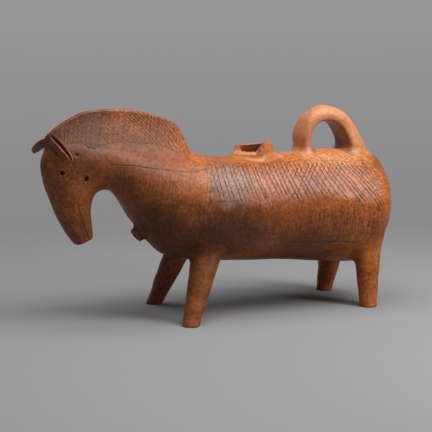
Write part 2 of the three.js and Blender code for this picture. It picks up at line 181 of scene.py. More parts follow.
def spline(points, number):
    """Uniform Catmull-Rom curve through the rows of points at row number: a cubic between neighbours whose
    tangent at a row is half the step from the row before to the row after."""
    points, number = np.asarray(points, float), np.asarray(number, float)
    last = len(points) - 1
    i = np.clip(np.floor(number).astype(int), 0, last - 1)
    t = (number - i)[..., None]
    before, here = points[np.maximum(i - 1, 0)], points[i]
    after, beyond = points[i + 1], points[np.minimum(i + 2, last)]
    leave, arrive = (after - before) / 2, (beyond - here) / 2
    cubic = 2 * here - 2 * after + leave + arrive
    square = 3 * after - 3 * here - 2 * leave - arrive
    return ((cubic * t + square) * t + leave) * t + here


def skin(station, angle, inset=0.0):
    """Point of the skin: an ellipse at angle from the back, round the middle of a station's top and bottom
    points. Below station 0 the ellipse shrinks as cos^p and moves back as sin^p, which makes the rump's
    squared dome, with a smaller p, and so a squarer edge, above than below. Towards the muzzle the ellipse
    is squared too, by a power under 1 of its sine and cosine. A low pad of clay, a bell along the back and
    across it, lies under the handle. Inset moves the skin into the wall."""
    station, angle = np.broadcast_arrays(np.asarray(station, float), np.asarray(angle, float))
    row = spline(STATIONS, np.maximum(station, 0))
    middle, rise = (row[..., 0:2] + row[..., 2:4]) / 2, (row[..., 0:2] - row[..., 2:4]) / 2
    high = np.linalg.norm(rise, axis=-1)
    turn = np.clip(-station, 0, 1) * np.pi / 2
    power = 2 / (SIDE_SQUARE + BACK_SQUARE * np.cos(angle))
    shrink = np.cos(turn) ** power
    reach = (RUMP_DEPTH - inset) * np.sin(turn) ** power
    square = 1 - MUZZLE_SQUARE * smooth(ROUND_END, SQUARE_END, station)
    up = (high - inset) / high * shrink * bent(np.cos(angle), square)
    side = (row[..., 4] / 2 - inset) * shrink * bent(np.sin(angle), square)
    x = SEAM + middle[..., 0] + reach + up * rise[..., 0]
    pad = PAD_RISE * np.exp(-((station - PAD_STATION) / PAD_HALF) ** 4) * np.clip(np.cos(angle), 0, 1) ** 8
    z = middle[..., 1] + RUMP_LIFT * (1 - shrink) + up * rise[..., 1] + pad
    return np.stack([x, -side, z], -1)


def run_table():
    """Stations, their distance along the body from the neck seam (towards the head is positive), and the
    mean radius there. The distance follows the middle line, and on the rump the dome's side."""
    ease = np.linspace(0, 1, 2000)
    dome = -(ease ** 3 / (ease ** 3 + (1 - ease) ** 3))[::-1]
    station = np.concatenate([dome, np.linspace(0, MUZZLE, 4001)[1:]])
    left, right = skin(station, np.pi / 2), skin(station, -np.pi / 2)
    line = np.where((station < 0)[:, None], left, (left + right) / 2)
    line[station >= 0, 1] = left[len(dome) - 1, 1]
    run = np.concatenate([[0], np.cumsum(np.linalg.norm(np.diff(line, axis=0), axis=1))])
    tall = np.linalg.norm(skin(station, 0.0) - skin(station, np.pi), axis=-1)
    wide = np.abs(left[:, 1] - right[:, 1])
    return station, run - np.interp(NECK_SEAM, station, run), (tall + wide) / 4


STATION, RUN, RADIUS = run_table()


def station_at(run):
    """Station at a distance along the body."""
    return np.interp(run, RUN, STATION)


def run_at(station):
    """Distance along the body of a station."""
    return np.interp(station, STATION, RUN)


def radius_at(station):
    """Mean radius of a station's section."""
    return np.interp(station, STATION, RADIUS)


def skin_normal(station, angle):
    """Outward direction of the skin: cross product of its two slopes, taken over small steps."""
    step = 1e-4
    along = skin(station + step, angle) - skin(station - step, angle)
    return unit(np.cross(along, skin(station, angle + step) - skin(station, angle - step)))


def skin_gap(points):
    """Distance of points in front of the skin, and the skin's normal there: Gauss-Newton steps on the
    distance along the body and the angle lead to the nearest point of the skin."""
    middle = (skin(STATION, 0.0)[:, 0] + skin(STATION, np.pi)[:, 0]) / 2
    near = STATION < HEAD_SEAM + 0.5
    run = np.interp(-points[..., 0], -middle[near], RUN[near])
    row = spline(STATIONS, np.maximum(station_at(run), 0))
    angle = np.arctan2(-points[..., 1] / row[..., 4], (points[..., 2] - AXIS) / (row[..., 1] - row[..., 3]))
    step = 0.05
    for _ in range(14):
        here = skin(station_at(run), angle)
        along = (skin(station_at(run + step), angle) - here) / step
        round_ = (skin(station_at(run), angle + step / 50) - here) * (50 / step)
        away = points - here
        aa, bb, ab = dot(along, along), dot(round_, round_), dot(along, round_)
        a, b = dot(along, away), dot(round_, away)
        whole = np.maximum(aa * bb - ab * ab, 1e-9)
        run = run + np.clip((a * bb - b * ab) / whole, -8, 8)
        angle = angle + np.clip((b * aa - a * ab) / whole, -0.3, 0.3)
    normal = skin_normal(station_at(run), angle)
    return dot(points - skin(station_at(run), angle), normal), normal


LUMP_WAYS = unit(np.random.default_rng(4).normal(size=(14, 3)))
LUMP_PHASES = np.random.default_rng(5).random(14) * 2 * np.pi
LUMP_LENGTHS = np.geomspace(15, 60, 14)


def lumps(points):
    """Unevenness from the potter's hands, about -1 to 1: a sum of waves 15 to 60 mm long in fixed random
    directions, so pieces that meet are uneven together."""
    waves = np.sin(points @ (LUMP_WAYS / LUMP_LENGTHS[:, None] * 2 * np.pi).T + LUMP_PHASES)
    return (waves * (LUMP_LENGTHS / LUMP_LENGTHS[-1]) ** 0.6).sum(-1) / 3


# Incised strokes

# lines on the skin: places along the body, and degrees from the back there
TOP_BORDER = ([-5, 38, 93, 136, 162, 175, 190], [26.9, 26.9, 28.3, 32.1, 39.3, 52.4, 75.0])
BOTTOM_BORDER = ([-9, 39, 83, 128, 168], [120.5, 122.8, 124.2, 123.3, 123.2])
NECK_LINE = ([11, 20.6, 35.6, 60.9, 91.6, 117.4], [34.4, 37.9, 44.2, 49.7, 62.1, 81.5])
POLL_LINE = ([108, 110.8, 124.2, 131.9], [18, 22.6, 45.5, 51.4])
MOUTH_LINE = ([180.9, 193.3, 203.3, 212.2, 220.1], [101.1, 98.8, 99.1, 98.6, 97.9])
LIP_LINE = ([181.9, 193.2], [87.4, 80.4])
CHIN_LINE = ([204.3, 218.3], [94.5, 89.3])
# x and z of the mane's lower border
MANE_BORDER = ([-175, -141, -132, -117.5, -106.4, -91, -72.4, -62, -48.3, -40],
               [170.0, 171.2, 171.7, 173.9, 174.9, 173.7, 171.9, 169.7, 163.5, 160.0])
# lean of the flank's strokes as the photograph's angle shows it, at distances behind the neck seam
LONG_LEAN = ([-20, 30, 73, 101, 128, 150], [0.25, 0.35, 0.45, 0.58, 0.8, 0.95])
CROSS_LEAN = ([0], [-0.42])
VIEW_AHEAD, VIEW_SIDE, VIEW_ABOVE, VIEW_LEVEL = 0.41, 0.912, 0.13, 0.99  # parts of that angle


def hatch(across, along, first, last, spacing, seed, side, strong):
    """Signed distance to the nearest stroke of a family, and its strength. Stroke k lies at k spacings
    across, shifted at random by up to a seventh, leaning a little and waved a little. It starts and stops
    at random between the two values of first and of last along, and fades at both ends."""
    k = np.round(across / spacing).astype(int)
    draw = np.random.default_rng(seed).random((6, 256))[:, (k + 97 * side) % 256]
    lean = 0.05 * (draw[1] - 0.5) * along
    wave = 0.25 * np.sin(along / (6 + 8 * draw[5]) + 6.28 * draw[1])
    centre = spacing * (k + 0.3 * (draw[0] - 0.5)) + lean + wave
    begin, end = mix(*first, draw[2]), mix(*last, draw[3])
    return across - centre, within(along, begin - 1, begin + 1, end - 3, end + 1) * mix(*strong, draw[4])


def stroke_start(x, angle, top, radius, lean):
    """Where the stroke through a point of the flank leaves the top border. Seen from a little ahead and
    above, the strokes look straight: from the border to an angle they move back by the radius times
    (l (above sin - level cos) - ahead sin) / side, with the lean l at their start, which is found by
    steps to a fixed point."""
    sine, cosine = np.sin(angle) - np.sin(top), np.cos(angle) - np.cos(top)
    rise, turn = VIEW_ABOVE * sine - VIEW_LEVEL * cosine, VIEW_AHEAD * sine
    start = x
    for _ in range(12):
        start = x - radius / VIEW_SIDE * (np.interp(start, *lean) * rise - turn)
    return start


def gathered(found):
    """Distances and strengths of families given as where each shows, its distance and its strength."""
    return np.stack([f[1] for f in found]), np.stack([f[0] * f[2] for f in found])


def body_strokes(run, arc, side, mm):
    """Distances and strengths of every family of strokes on the body, for points at run mm along it and arc
    mm down its side from the line of the back."""
    radius = np.interp(run, RUN, RADIUS)
    angle = arc / radius
    x = -run

    def below(line, place):
        """Distance round the section below a line."""
        return (angle - np.radians(np.interp(place, *line))) * radius

    top = np.radians(np.interp(x, *TOP_BORDER))
    band = -22 + 16 * np.clip(np.cos(angle), 0, 1) ** 1.5
    down, left, under = (angle - top) * radius, below(BOTTOM_BORDER, x), below(NECK_LINE, run)
    flank = smooth(1.6, 2.6, x - band) * (1 - smooth(166, 177, x))
    flank = flank * smooth(0, 0.6, down) * smooth(0, 0.6, -left)
    edge = smooth(0.5, 2, x - band) * (1 - smooth(170, 178, x))
    upright = smooth(0, 1, (angle - np.radians(33)) * radius) * smooth(0, 1, -left) * smooth(-40, -30, x)
    neck = smooth(1.6, 2.6, band - x) * (1 - smooth(112, 122, run)) * smooth(0, 0.6, under)
    neck = neck * (1 - smooth(np.radians(126), np.radians(138), angle))
    long, cross = (stroke_start(x, angle, top, radius, lean) for lean in (LONG_LEAN, CROSS_LEAN))
    space = mm.flank_spacing
    found = [
        # long strokes that lean more the further back they are
        (flank, *hatch(long, down, (0, 2), (40, 48), space, 1, side, (0.75, 1.0))),
        # strokes that cross them, stronger towards the rump
        (flank * mix(0.75, 1, smooth(20, 100, x)),
         *hatch(cross, down, (0, 8), (34, 46), space, 2, side, (0.4, 0.9))),
        # short scratches in two leans below them, then upright strokes down to the lower border
        (flank, *hatch(x - 0.2 * down, down, (40, 66), (58, 92), space * 0.5, 3, side, (0.1, 0.5))),
        (flank, *hatch(x + 0.3 * down, down, (40, 70), (56, 92), space * 0.5, 8, side, (0.1, 0.5))),
        (flank * mix(0.4, 1, smooth(60, 110, x)),
         *hatch(x + 0.04 * down, down, (46, 64), (84, 110), space * 0.6, 9, side, (0.4, 0.85))),
        # borders of the flank
        (edge * (1 - smooth(140, 160, x)), down, 0.55),
        (edge * (1 - smooth(138, 156, x)), left, mix(0.3, 0.7, smooth(50, 85, x))),
        (upright, x - band - 1.7, 0.6),
        (upright, x - band + 1.7, 0.6),
        # the neck: one strong line, and upright strokes below it
        (within(run, 9, 11, 116, 121), under, 1.0),
        (neck, *hatch(run - 0.2 * under, under, (0, 3), (34, 80), mm.neck_spacing, 4, side, (0.2, 0.55))),
        # the mane's lower border, where it runs on over the poll
        (within(run, 116, 121, 129, 133), below(POLL_LINE, run), 0.6),
    ]
    for line, strong in ((MOUTH_LINE, 0.9), (LIP_LINE, 0.45), (CHIN_LINE, 0.45)):
        first, last = line[0][0], line[0][-1]
        found.append((within(run, first - 1, first + 1, last - 1, last + 1), below(line, run), strong))
    return gathered(found)


def mane_strokes(x, z, side, mm):
    """Distances and strengths of the strokes on the mane's sides, seen from the side as x and z."""
    top = np.interp(-x, -CREST_LINE[:, 0], CREST_LINE[:, 1])
    border = np.interp(x, *MANE_BORDER)
    inside = smooth(0, 0.6, z - border) * smooth(0.2, 0.9, top - z) * (1 - smooth(-48, -43, x))
    inside = inside * mix(0.5, 1, smooth(-155, -115, x))
    down = 207 - z
    lean = mix(0.74, 1.05, np.clip((-50 - x) / 45, 0, 1.3))
    space = mm.mane_spacing
    return gathered([
        (inside, *hatch(x - lean * (down - 15), down, (0, 2), (60, 70), space, 6, side, (0.5, 0.85))),
        (inside, *hatch(x + 0.25 * down, down, (0, 6), (30, 60), space * 1.1, 7, side, (0.4, 0.75))),
        (within(x, -172, -165, -47, -44), z - border, 0.7),
    ])


def nearest_stroke(strokes, u, v, side, mm):
    """How deep each grid point lies in a stroke, 0 to 1, and the steps of u and v that bring a point beside a
    stroke on to it. The slope of the distance, over small steps, turns it square to the stroke."""
    step = 0.02
    distance, strength = strokes(u, v, side, mm)
    slope_u = (strokes(u + step, v, side, mm)[0] - distance) / step
    slope_v = (strokes(u, v + step, side, mm)[0] - distance) / step
    steep = slope_u ** 2 + slope_v ** 2 + 1e-6
    away = np.abs(distance) / np.sqrt(steep)
    share = strength * np.clip(1 - away / (mm.groove_width * mix(0.55, 1, strength)), 0, 1)
    best = np.argmax(share, axis=0)[None]
    distance, strength, slope_u, slope_v, steep, away, share = (
        np.take_along_axis(part, best, 0)[0]
        for part in (distance, strength, slope_u, slope_v, steep, away, share))
    close = (away < SNAP) & (strength > 0.1)
    move = np.where(close, -distance / steep, 0)
    return np.where(close, strength, share), move * slope_u, move * slope_v


# Meshes

def finish_piece(name, slot, points, quads, triangles, sharp, columns, marks):
    """Puts arrays of points, quads and triangles into a mesh, turned outwards by the sign of its volume, and
    hangs the object on the frame. Edges along the sharp rings keep both their normals. Marks are values of
    the first points; the rest get 0."""
    a, b, c = np.moveaxis(points[np.concatenate([quads[:, [0, 1, 2]], quads[:, [0, 2, 3]], triangles])], 1, 0)
    if (a * np.cross(b, c)).sum() < 0:
        quads, triangles = quads[:, ::-1], triangles[:, ::-1]
    corners = np.concatenate([quads.ravel(), triangles.ravel()])
    starts = np.concatenate([np.arange(len(quads)) * 4, 4 * len(quads) + np.arange(len(triangles)) * 3])
    mesh = bpy.data.meshes.new(name)
    mesh.vertices.add(len(points))
    mesh.vertices.foreach_set("co", (points * MM).astype(np.float32).ravel())
    mesh.loops.add(len(corners))
    mesh.loops.foreach_set("vertex_index", corners.astype(np.int32))
    mesh.polygons.add(len(starts))
    mesh.polygons.foreach_set("loop_start", starts.astype(np.int32))
    mesh.polygons.foreach_set("use_smooth", np.ones(len(starts), bool))
    mesh.update(calc_edges=True)
    if mesh.validate():
        raise RuntimeError(f"{name} has faulty faces")
    if len(sharp):
        ends = np.empty(len(mesh.edges) * 2, np.int32)
        mesh.edges.foreach_get("vertices", ends)
        rings = ends.reshape(-1, 2) // columns
        mesh.edges.foreach_set("use_edge_sharp", (rings[:, 0] == rings[:, 1]) & np.isin(rings[:, 0], sharp))
    for key, values in marks.items():
        layer = mesh.attributes.new(key, "FLOAT", "POINT")
        padded = np.pad(np.ravel(values), (0, len(points) - np.size(values)))
        layer.data.foreach_set("value", padded.astype(np.float32))
    piece = bpy.data.objects.new(name + "_clay", mesh)
    bpy.context.scene.collection.objects.link(piece)
    mesh.materials.append(clay_material(slot))
    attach(piece, "root")
    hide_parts(name)


def ring_piece(name, slot, rings, loop=False, sharp=(), hole=None, **marks):
    """Closed piece from rings of points: quads between neighbours, and either the last ring joined to the
    first or a fan on each end ring's middle. A hole takes a block of quads out of an outer wall and of the
    inner wall behind it, and joins the two edges."""
    count, columns = rings.shape[:2]
    index = np.arange(count * columns).reshape(count, columns)
    lower, upper = (index, np.roll(index, -1, axis=0)) if loop else (index[:-1], index[1:])
    quads = np.stack([lower, np.roll(lower, -1, 1), np.roll(upper, -1, 1), upper], -1)
    points = rings.reshape(-1, 3)
    keep = np.ones(quads.shape[:2], bool)
    extra = []
    if hole is not None:
        rows, twins, across = hole
        keep[np.ix_(rows[:-1], across[:-1])] = False
        keep[np.ix_(np.minimum(twins[:-1], twins[1:]), across[:-1])] = False
        front, back = index[np.ix_(rows, across)], index[np.ix_(twins, across)]
        for a, b in ((front[0], back[0]), (front[-1, ::-1], back[-1, ::-1]),
                     (front[:, -1], back[:, -1]), (front[::-1, 0], back[::-1, 0])):
            extra.append(np.stack([a[:-1], a[1:], b[1:], b[:-1]], -1))
    quads = np.concatenate([quads[keep]] + extra)
    triangles = np.empty((0, 3), int)
    if not loop:
        ends = np.arange(2) + len(points)
        first, last = index[0], index[-1]
        triangles = np.concatenate([
            np.stack([np.roll(first, -1), first, np.full(columns, ends[0])], -1),
            np.stack([last, np.roll(last, -1), np.full(columns, ends[1])], -1)])
        points = np.concatenate([points, rings[[0, -1]].mean(axis=1)])
    finish_piece(name, slot, points, quads, triangles, sharp, columns, marks)


def ring_normals(rings, loop=False):
    """Direction square to a closed grid of rings, from the differences between neighbours."""
    along = np.roll(rings, -1, 0) - np.roll(rings, 1, 0) if loop else np.gradient(rings, axis=0)
    return unit(np.cross(np.roll(rings, -1, 1) - np.roll(rings, 1, 1), along))


def section_angles():
    """Angles round a section from -pi to pi, with fine steps on the flanks and coarse ones on the back and
    the belly: the number of steps up to an angle is the sum of the step density, inverted."""
    angle = np.linspace(0, np.pi, 4001)
    flank = within(np.degrees(angle), 17, 23, 128, 138)
    density = mix(1 / COARSE, 1 / FINE, flank) * BARREL_RADIUS
    count = np.concatenate([[0], np.cumsum((density[1:] + density[:-1]) / 2 * np.diff(angle))])
    half = np.interp(np.linspace(0, count[-1], int(round(count[-1])) + 1), count, angle)
    return np.concatenate([-half[:0:-1], half[:-1]])


ANGLES = section_angles()


def carved_skin(run, angles, mm):
    """Rings of the outer skin with its strokes pressed in along the normal, and how deep each point is."""
    station, angle = np.meshgrid(station_at(run), angles, indexing="ij")
    side = (angle < 0).astype(int)
    run, arc = run_at(station), np.abs(angle) * radius_at(station)
    depth, along, round_ = nearest_stroke(body_strokes, run, arc, side, mm)
    station = np.where(along == 0, station, station_at(run + along))
    turned = (arc + round_) / radius_at(station)
    angle = np.where(depth > 0, np.sign(angle) * turned, angle)
    points, normal = skin(station, angle), skin_normal(station, angle)
    press = mm.hand_lumps * lumps(points) - mm.groove_depth * depth
    return points + press[..., None] * normal, depth, normal


def inner_skin(run, angles):
    """Rings of the hollow, a wall's thickness inside the skin."""
    return skin(station_at(run)[:, None], angles, WALL)


def runs(start, stop, step):
    """Even steps along the body from start to stop."""
    return np.linspace(start, stop, int(round(abs(stop - start) / step)) + 1)


def shell_with_hole(name, seams, inner_step, centre, half, hole_angle, mm):
    """Tube of clay between two seams: the carved outer skin from the first seam to the second, and the inner
    skin back again. A hole round hole_angle joins the two under a luted-on mouth."""
    ends = run_at(seams)
    outer_run = runs(*ends, FINE)
    outer, depth, _ = carved_skin(outer_run, ANGLES, mm)
    rows = np.flatnonzero(np.abs(outer_run - centre) <= half)
    spaced = runs(*ends, inner_step)
    spaced = spaced[np.abs(spaced - centre) > half + inner_step / 2]
    inner_run = np.sort(np.concatenate([spaced, outer_run[rows]]))[::-1]
    twins = len(outer) + np.argmin(np.abs(inner_run - outer_run[rows, None]), axis=1)
    turn = (ANGLES - hole_angle + np.pi) % (2 * np.pi)
    across = np.flatnonzero(np.abs(turn - np.pi) * radius_at(station_at(centre)) <= half)
    across = across[np.argsort(turn[across])]
    rings = np.concatenate([outer, inner_skin(inner_run, ANGLES)])
    sharp = (0, len(outer) - 1, len(outer), len(rings) - 1)
    ring_piece(name, "burnished_clay", rings, True, sharp, (rows, twins, across), groove=depth)


def tube_root(tube, outside, inside, radius, columns, steps=12, sink=0.8):
    """Rings of clay smoothed from a tube on to the skin. For each line along the tube, the place is found by
    halving where its gap to the skin is radius (1 - sin a); there it is moved away from the tube's middle by
    radius (1 - cos a), with a from 0 to a right angle. The last ring goes under the skin."""
    turn = np.append(np.linspace(0, np.pi / 2, steps), np.pi / 2)[:, None]
    gap = radius * (1 - np.sin(turn)) * np.ones(columns)
    spread = radius * (1 - np.cos(turn)) * np.ones(columns)
    low, high = np.full(gap.shape, inside, float), np.full(gap.shape, outside, float)
    for _ in range(26):
        middle = (low + high) / 2
        over = skin_gap(tube(middle)[0])[0] > gap
        high, low = np.where(over, middle, high), np.where(over, low, middle)
    place = (low + high) / 2
    points, centres = tube(place)
    normal = skin_gap(points)[1]
    away = points - centres
    away = unit(away - dot(away, normal)[..., None] * normal)
    points = points + spread[..., None] * away
    gap[-1] = -sink
    points[-1] = points[-1] + sink * away[-1]
    for _ in range(2):
        now, normal = skin_gap(points)
        points = points - (now - gap)[..., None] * normal
    return points, place[0]


def uneven(rings, mm, amount=1.0, loop=False):
    """Moves rings in and out by the hand's unevenness."""
    normal = ring_normals(rings, loop)
    outward = np.sign((normal * (rings - rings.mean(axis=1, keepdims=True))).sum() + 1e-9)
    return rings + outward * (amount * mm.hand_lumps * lumps(rings))[..., None] * normal


# Pieces of the vessel

class PieceOperator:
    """What the operators share: each builds its pieces from the scene's sizes, in mm, or raises an error."""

    bl_options = {"REGISTER", "UNDO"}

    def execute(self, context):
        sizes = context.scene.vessel_sizes
        self.build(SimpleNamespace(**{key: getattr(sizes, key) / MM for key in VesselSizes.__annotations__}))
        return {"FINISHED"}


class VESSEL_OT_barrel(PieceOperator, bpy.types.Operator):
    """Body tube: round sections along a straight axis, hatched on the flanks, open under the filling neck."""

    bl_idname = "vessel.barrel"
    bl_label = "Barrel"

    def build(self, mm):
        shell_with_hole("body_barrel", (RUMP_SEAM, NECK_SEAM), 12, -FILL_X, FILL_BORE, 0.0, mm)


class VESSEL_OT_rump(PieceOperator, bpy.types.Operator):
    """Rump: the squared dome that closes the tube, as a shell whose two poles are fans."""

    bl_idname = "vessel.rump"
    bl_label = "Rump"

    def build(self, mm):
        seam = run_at(RUMP_SEAM)
        fine, inner = seam - RUMP_FINE, seam - RUMP_INNER
        outer_run = np.concatenate([runs(RUN[0] + 0.3, fine, 2.0), runs(fine, seam, 0.8)[1:]])
        outer, depth, _ = carved_skin(outer_run, ANGLES, mm)
        inner_run = np.concatenate([runs(seam, inner, 4.0), runs(inner, RUN[0] + 0.5, 6.0)[1:]])
        rings = np.concatenate([outer, inner_skin(inner_run, ANGLES)])
        ring_piece("rump_cap", "burnished_clay", rings, False, (len(outer) - 1, len(outer)), groove=depth)


class VESSEL_OT_neck(PieceOperator, bpy.types.Operator):
    """Shoulder and neck: sections that fan round the throat and narrow, hatched, open under the spout."""

    bl_idname = "vessel.neck"
    bl_label = "Neck"

    def build(self, mm):
        shell_with_hole("neck", (NECK_SEAM, HEAD_SEAM), 8, run_at(SPOUT_STATION), SPOUT_BORE + 0.4, np.pi, mm)


NOSE_EDGE = 0.8  # rounding of the muzzle's flat end
PIT_REACH = 9.0  # clay further than this from a pit's plane is on the other side of the head
# station, angle in degrees, half length along the head, half width, slant in degrees, depth, raised rim
HEAD_PITS = (
    (7.37, 64.0, 2.1, 2.1, 0.0, 4.2, 0.4),
    (6.78, 108.0, 3.2, 1.6, 35.0, 3.4, 0.2),
    (7.33, 86.0, 2.2, 6.5, 0.0, 0.25, 0.0),
    (6.72, 71.0, 0.9, 2.2, 10.0, 0.4, 0.0),
    (6.28, 62.0, 2.2, 2.2, 0.0, 1.2, 0.0),
)


class VESSEL_OT_head(PieceOperator, bpy.types.Operator):
    """Head: sections bent down at the throat to a flat muzzle, with pierced eyes, cheek holes and
    mouth lines."""

    bl_idname = "vessel.head"
    bl_label = "Head"

    def build(self, mm):
        angles = np.linspace(-np.pi, np.pi, 260, endpoint=False)
        end, seam = RUN[-1], run_at(HEAD_SEAM)
        flat = np.linspace(8.5, NOSE_EDGE, 5)[:-1]
        turn = np.linspace(np.pi / 2, 0, 6)
        nose_run = np.append(0 * flat + end, end - NOSE_EDGE * (1 - np.sin(turn)))
        inset = np.append(flat, NOSE_EDGE * (1 - np.cos(turn)))
        nose = skin(station_at(nose_run)[:, None], angles, inset[:, None])
        outer, depth, normal = carved_skin(runs(end - NOSE_EDGE, seam, 0.62)[1:], angles, mm)
        outer, painted_shade = self.pits(outer, normal)
        inner = inner_skin(runs(seam, run_at(HOLLOW_END), 5), angles)
        # earth in the strokes, and painted shade in the holes
        groove = np.concatenate([np.zeros(nose.shape[:2]), np.maximum(depth, painted_shade)])
        ring_piece("head", "burnished_clay", np.concatenate([nose, outer, inner]), False,
                   (len(groove) - 1, len(groove)), groove=groove)

    def pits(self, points, normal):
        """Presses the holes and dents in along the normal: full depth inside an ellipse on the skin, rising
        to its rim, with a low ridge of pushed-up clay just outside. Gives also the painted shade in each
        hollow, more in the deeper ones."""
        painted_shade = np.zeros(points.shape[:2])
        for station, degrees, long, wide, slant, deep, ridge in HEAD_PITS:
            for side in (1, -1):
                angle, lean = side * np.radians(degrees), np.radians(slant)
                centre, out = skin(station, angle), skin_normal(station, angle)
                along = unit(skin(station + 0.01, angle) - centre)
                away = points - centre
                u, v = away @ along, away @ np.cross(out, along) * side
                u, v = u * np.cos(lean) + v * np.sin(lean), v * np.cos(lean) - u * np.sin(lean)
                far = np.sqrt((u / long) ** 2 + (v / wide) ** 2)
                far = np.where(np.abs(away @ out) > PIT_REACH, PIT_REACH, far)
                hollow = 1 - smooth(0.55, 1.1, far)
                rim = np.exp(-((far - 1.35) / 0.28) ** 2)
                points = points + (ridge * rim - deep * hollow)[..., None] * normal
                # painted shade in the hollow
                painted_shade = np.maximum(painted_shade, hollow * min(1, deep / 2))
        return points, painted_shade


# stations of the mane's ends, its height over the back, its thickness along the edge
MANE_START, MANE_END, MANE_RISE, MANE_EDGE = 2.3, 6.9, 49.5, 8.4
MANE_NOSE = 0.058  # share of the mane in which its front end is rounded off
CREST_SHARES = ((-0.13, -0.03), (-0.06, 0.02), (-0.01, 0.06), (0.025, 0.13), (0.06, 0.335), (0.12, 0.645),
                (0.2, 0.775), (0.32, 0.885), (0.5, 0.972), (0.72, 0.96),
                (0.83, 0.838), (0.915, 0.69), (1, 0.5))


def crest(part):
    """Point x, z of the mane's edge, by its shares of the way from withers to crown and of the rise."""
    shares = spline(CREST_SHARES, np.asarray(part) * (len(CREST_SHARES) - 1))
    ends = spline(STATIONS, np.array([MANE_START, MANE_END]))[:, 0] + SEAM
    return np.stack([mix(*ends, shares[..., 0]), BACK + MANE_RISE * shares[..., 1]], -1)


CREST_LINE = crest(np.linspace(0, 1, 400))


class VESSEL_OT_mane(PieceOperator, bpy.types.Operator):
    """Mane: upright slices, each side a cubic curve from along the neck's skin to straight up at the edge."""

    bl_idname = "vessel.mane"
    bl_label = "Mane"

    def build(self, mm):
        part = np.linspace(0, 1, 330)
        x, top = crest(part).T
        back = skin(STATION[STATION < 7.1], 0.0)
        back_top = np.interp(-x, -back[:, 0], back[:, 2])
        tall = np.maximum(top - back_top, 0)
        front = np.clip(part - 1 + MANE_NOSE, 0, 1) / MANE_NOSE
        nose = np.sqrt(np.clip(1 - front ** 2, 0.0004, 1))
        foot_y = (7 + mix(11.5, 8.5, smooth(0.6, 0.95, part)) * smooth(0, 26, tall)) * np.maximum(nose, 0.45)
        foot_z, slope = self.feet(x, foot_y)
        half = MANE_EDGE / 2 * nose * mix(0.3, 1, smooth(0, 15, tall))
        cap = np.minimum(2.4, 0.6 * tall + 0.3)
        start, stop = np.stack([foot_y, foot_z], -1), np.stack([half, top - cap], -1)
        pull = np.linalg.norm(stop - start, axis=-1, keepdims=True)
        leave = mix(slope * pull, stop - start, 0.7)
        arrive = mix(np.array([0, 1.0]) * pull, stop - start, 0.4)
        s = np.linspace(0, 1, 88)[:, None, None]
        flank = ((2 * s ** 3 - 3 * s ** 2 + 1) * start + (s ** 3 - 2 * s ** 2 + s) * leave
                 + (3 * s ** 2 - 2 * s ** 3) * stop + (s ** 3 - s ** 2) * arrive)
        turn = np.linspace(0, np.pi / 2, 9)[1:, None]
        crown = np.stack([half * np.cos(turn), top - cap + cap * np.sin(turn)], -1)
        side = np.concatenate([start[None] + np.array([0.8, -1.2]), flank, crown])
        under = np.stack([0 * x, back_top - 4], -1)[None]
        y, z = np.moveaxis(np.concatenate([side * np.array([-1, 1]), side[-2::-1], under]), -1, 0)
        rings = np.stack([np.broadcast_to(x, y.shape), y, z], -1).swapaxes(0, 1)
        where = (rings[..., 1] > 0).astype(int)
        depth, along, upward = nearest_stroke(mane_strokes, rings[..., 0], rings[..., 2], where, mm)
        on_side = np.ones(len(y))
        on_side[[0, -1, -2]] = 0
        depth = depth * on_side
        rings[..., 0] += along * on_side
        rings[..., 2] += upward * on_side
        normal = ring_normals(rings)
        normal = normal * np.sign((normal[..., 1] * rings[..., 1]).sum())
        press = mm.hand_lumps * lumps(rings) - 0.5 * mm.groove_depth * depth
        ring_piece("mane_crest", "burnished_clay", rings + press[..., None] * normal, groove=depth)

    def feet(self, x, y):
        """Height of the skin at given x and distance y from the middle plane, and its slope there as (y, z),
        pointing up: the station is found by halving, at the angle that gives y."""
        angle = np.full(len(x), 0.4)
        for _ in range(12):
            low, high = np.full(len(x), -30.0), np.full(len(x), run_at(7.2))
            for _ in range(30):
                middle = (low + high) / 2
                ahead = skin(station_at(middle), angle)[:, 0] > x
                low, high = np.where(ahead, middle, low), np.where(ahead, high, middle)
            half = spline(STATIONS, station_at(low))[:, 4] / 2
            angle = np.arcsin(np.clip(y / half, 0, 0.95))
        normal = np.abs(skin_normal(station_at(low), angle))
        return skin(station_at(low), angle)[:, 2], unit(normal[:, [2, 1]] * np.array([-1, 1]))


# length, half width, thickness at the rim and at the fold, share of the length in which the tip rounds
EAR_LENGTH, EAR_HALF, EAR_RIM, EAR_FOLD, EAR_TIP = 39.0, 4.6, 2.0, 2.6, 0.1
# side, degrees turned back and down, root below the crest, depth of the leaf
EARS = {"left_ear": (-1, 15, 24, 7.4, 9.2), "right_ear": (1, -5, 15, 11.0, 6.6)}


